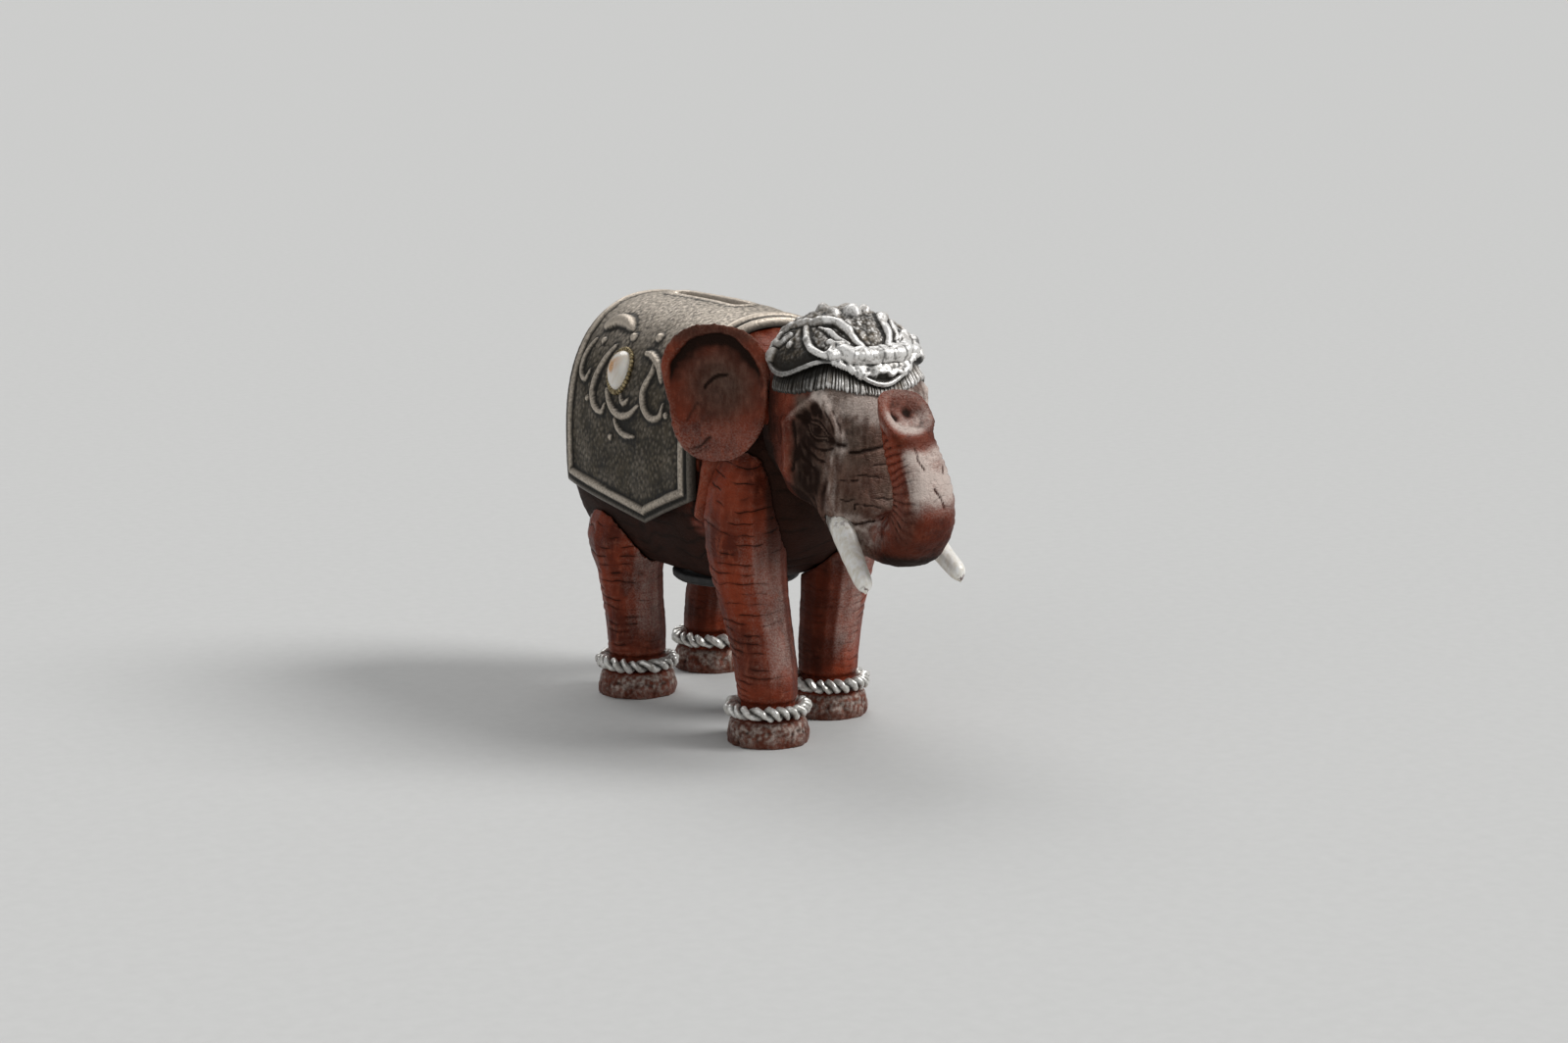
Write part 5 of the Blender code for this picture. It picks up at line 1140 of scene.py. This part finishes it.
tusk_silver = bright_silver("tusk_silver", (0.78, 0.73, 0.63), (0.97, 0.96, 0.93), 0.05)
for side, hand in ((1, "left"), (-1, "right")):
    tusk = evened(f"{hand}_tusk", f"{hand}_tusk_peg", TUSK_GRAIN, 8)
    points, normals = points_of(tusk), normals_of(tusk)
    to_tip = ramp(points[:, 2], 52.0, 44.0)
    flutes = np.sin(5 * np.arctan2(points[:, 0] - side * 11.6, points[:, 2] - 50) + 2 * mottle(points, 4))
    points = points + normals * (0.25 + 0.07 * flutes * to_tip + 0.12 * mottle(points, 2.2, side))[:, None]
    lowest = points[:, 2].min()
    end = points[points[:, 2] < lowest + 1.0].mean(0)
    down = end - points[points[:, 2] > lowest + 8.0].mean(0)
    down /= np.linalg.norm(down)
    past = (points - end) @ down
    rounded = np.sqrt(np.clip(1 - (np.maximum(past + 2.2, 0) / 3.2) ** 2, 0.02, 1))[:, None]
    across = points - end - np.outer(past, down)
    put_points(tusk, points + (rounded - 1) * across)
    fine = stands_out(tusk, 5)
    # Painted shade: the back end is darkened where the peg meets the cheek.
    mark(tusk, "wash_and_shade", np.clip(-fine / 0.04, 0, 1) * 0.6 + 0.8 * ramp(points[:, 1], -65.2, -63.6))
    mark(tusk, "chipped", np.maximum(0.5 * ramp(past, -0.7, 0.7), 0.35 * ramp(points[:, 2], 54, 57)))
    tusk.data.materials.append(tusk_silver)
    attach(tusk, "bank")
    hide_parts(f"{hand}_tusk")


# Anklets. Rings of two soft silvered wires twisted like rope, bent round each ankle with the ends meeting
# behind. A dark wash lies in the seam between the wires, and painted shade darkens their undersides.

STRAND_RADIUS, STRAND_OFFSET, STRAND_TWISTS, ANKLET_GAP = 1.02, 0.74, 10.5, 0.09
ROPE_RADIUS, STEPS, SIDES = 1.7, 200, 12

anklet_silver = bright_silver("anklet_silver", (0.62, 0.60, 0.55), (0.93, 0.92, 0.89), 0.60)

for seed, leg_name in enumerate(("left_front", "right_front", "left_hind", "right_hind")):
    low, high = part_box(f"{leg_name}_anklet")
    low, high = (np.array(low) - UNDER_BODY) * 1000, (np.array(high) - UNDER_BODY) * 1000
    middle = (low + high) / 2
    ring_radius = (high[0] - low[0]) / 2 - ROPE_RADIUS
    turn = np.linspace(ANKLET_GAP, 2 * np.pi - ANKLET_GAP, STEPS)
    out = np.stack((np.sin(turn), np.cos(turn), 0 * turn), 1)
    up = np.array((0.0, 0.0, 1.0))
    strands, faces, seams_and_shade = [], [], []
    for strand in (0, 1):
        twist = STRAND_TWISTS * turn + np.pi * strand
        twist += 0.8 * np.sin(2 * turn + seed) + 0.4 * np.sin(5 * turn + 2 * seed)
        offset = out * np.cos(twist)[:, None] + up * np.sin(twist)[:, None]
        line = middle + out * ring_radius + offset * STRAND_OFFSET
        around = full_turn(SIDES)
        ways = out[:, None] * np.cos(around)[None, :, None] + up * np.sin(around)[None, :, None]
        uneven = 0.13 * np.sin(7 * turn + 2 * strand + seed) + 0.07 * np.sin(17 * turn + 3 * strand)
        swollen = STRAND_RADIUS * (1 + uneven)
        swollen *= np.minimum(1, 0.45 + 6 * np.minimum(turn - ANKLET_GAP, turn[::-1] - ANKLET_GAP))
        body = line[:, None] + ways * swollen[:, None, None]
        first = len(strands) and len(strands[0])
        strands.append(body.reshape(-1, 3))
        faces += [[first + corner for corner in face] for face in ring_faces(STEPS, SIDES, False)]
        faces.append([first + k for k in range(SIDES)][::-1])
        faces.append([first + (STEPS - 1) * SIDES + k for k in range(SIDES)])
        # The dark mark holds the wash in the seam between the wires and painted shade on the undersides.
        seam_and_shade = -1.6 * (ways * offset[:, None]).sum(2) + 0.15 + 0.45 * np.clip(-ways[:, :, 2], 0, 1)
        seams_and_shade.append(np.clip(seam_and_shade, 0, 1).ravel())
    points = np.concatenate(strands)
    anklet = solid_of(f"{leg_name}_anklet_rope", points, [face[::-1] for face in faces])
    put_points(anklet, points_of(anklet) + normals_of(anklet) * (0.40 * mottle(points, 1.5, seed))[:, None])
    mark(anklet, "wash_and_shade", np.concatenate(seams_and_shade))
    mark(anklet, "chipped", np.clip(mottle(points, 4, seed + 3) - 0.1, 0, 0.4))
    anklet.data.materials.append(anklet_silver)
    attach(anklet, "bank")
    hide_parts(f"{leg_name}_anklet")


# Stopper. A soft black rubber bung that fills the hole under the belly, with a tab to pull it by. It is
# pressed in without glue, and dust has greyed it a little.

STOPPER_GRAIN = 0.40

rubber, tree, shader = paint("black_rubber")
dusty = grain_of(tree, 450.0, 4.0, 0.6)
tone = mix(tree, ranged(tree, dusty, 0.45, 0.75), colour(0.018, 0.018, 0.018), colour(0.050, 0.048, 0.046))
fill(tree, shader, {"Base Color": tone, "Roughness": ranged(tree, dusty, 0.3, 0.7, 0.55, 0.75)})
raise_bump(tree, shader, grain_of(tree, 2600.0, 2.0), 0.00005, 0.5)

stopper = evened("stopper", "stopper_rubber", STOPPER_GRAIN, 5)
stopper.data.materials.append(rubber)
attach(stopper, "stopper")
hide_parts("stopper")
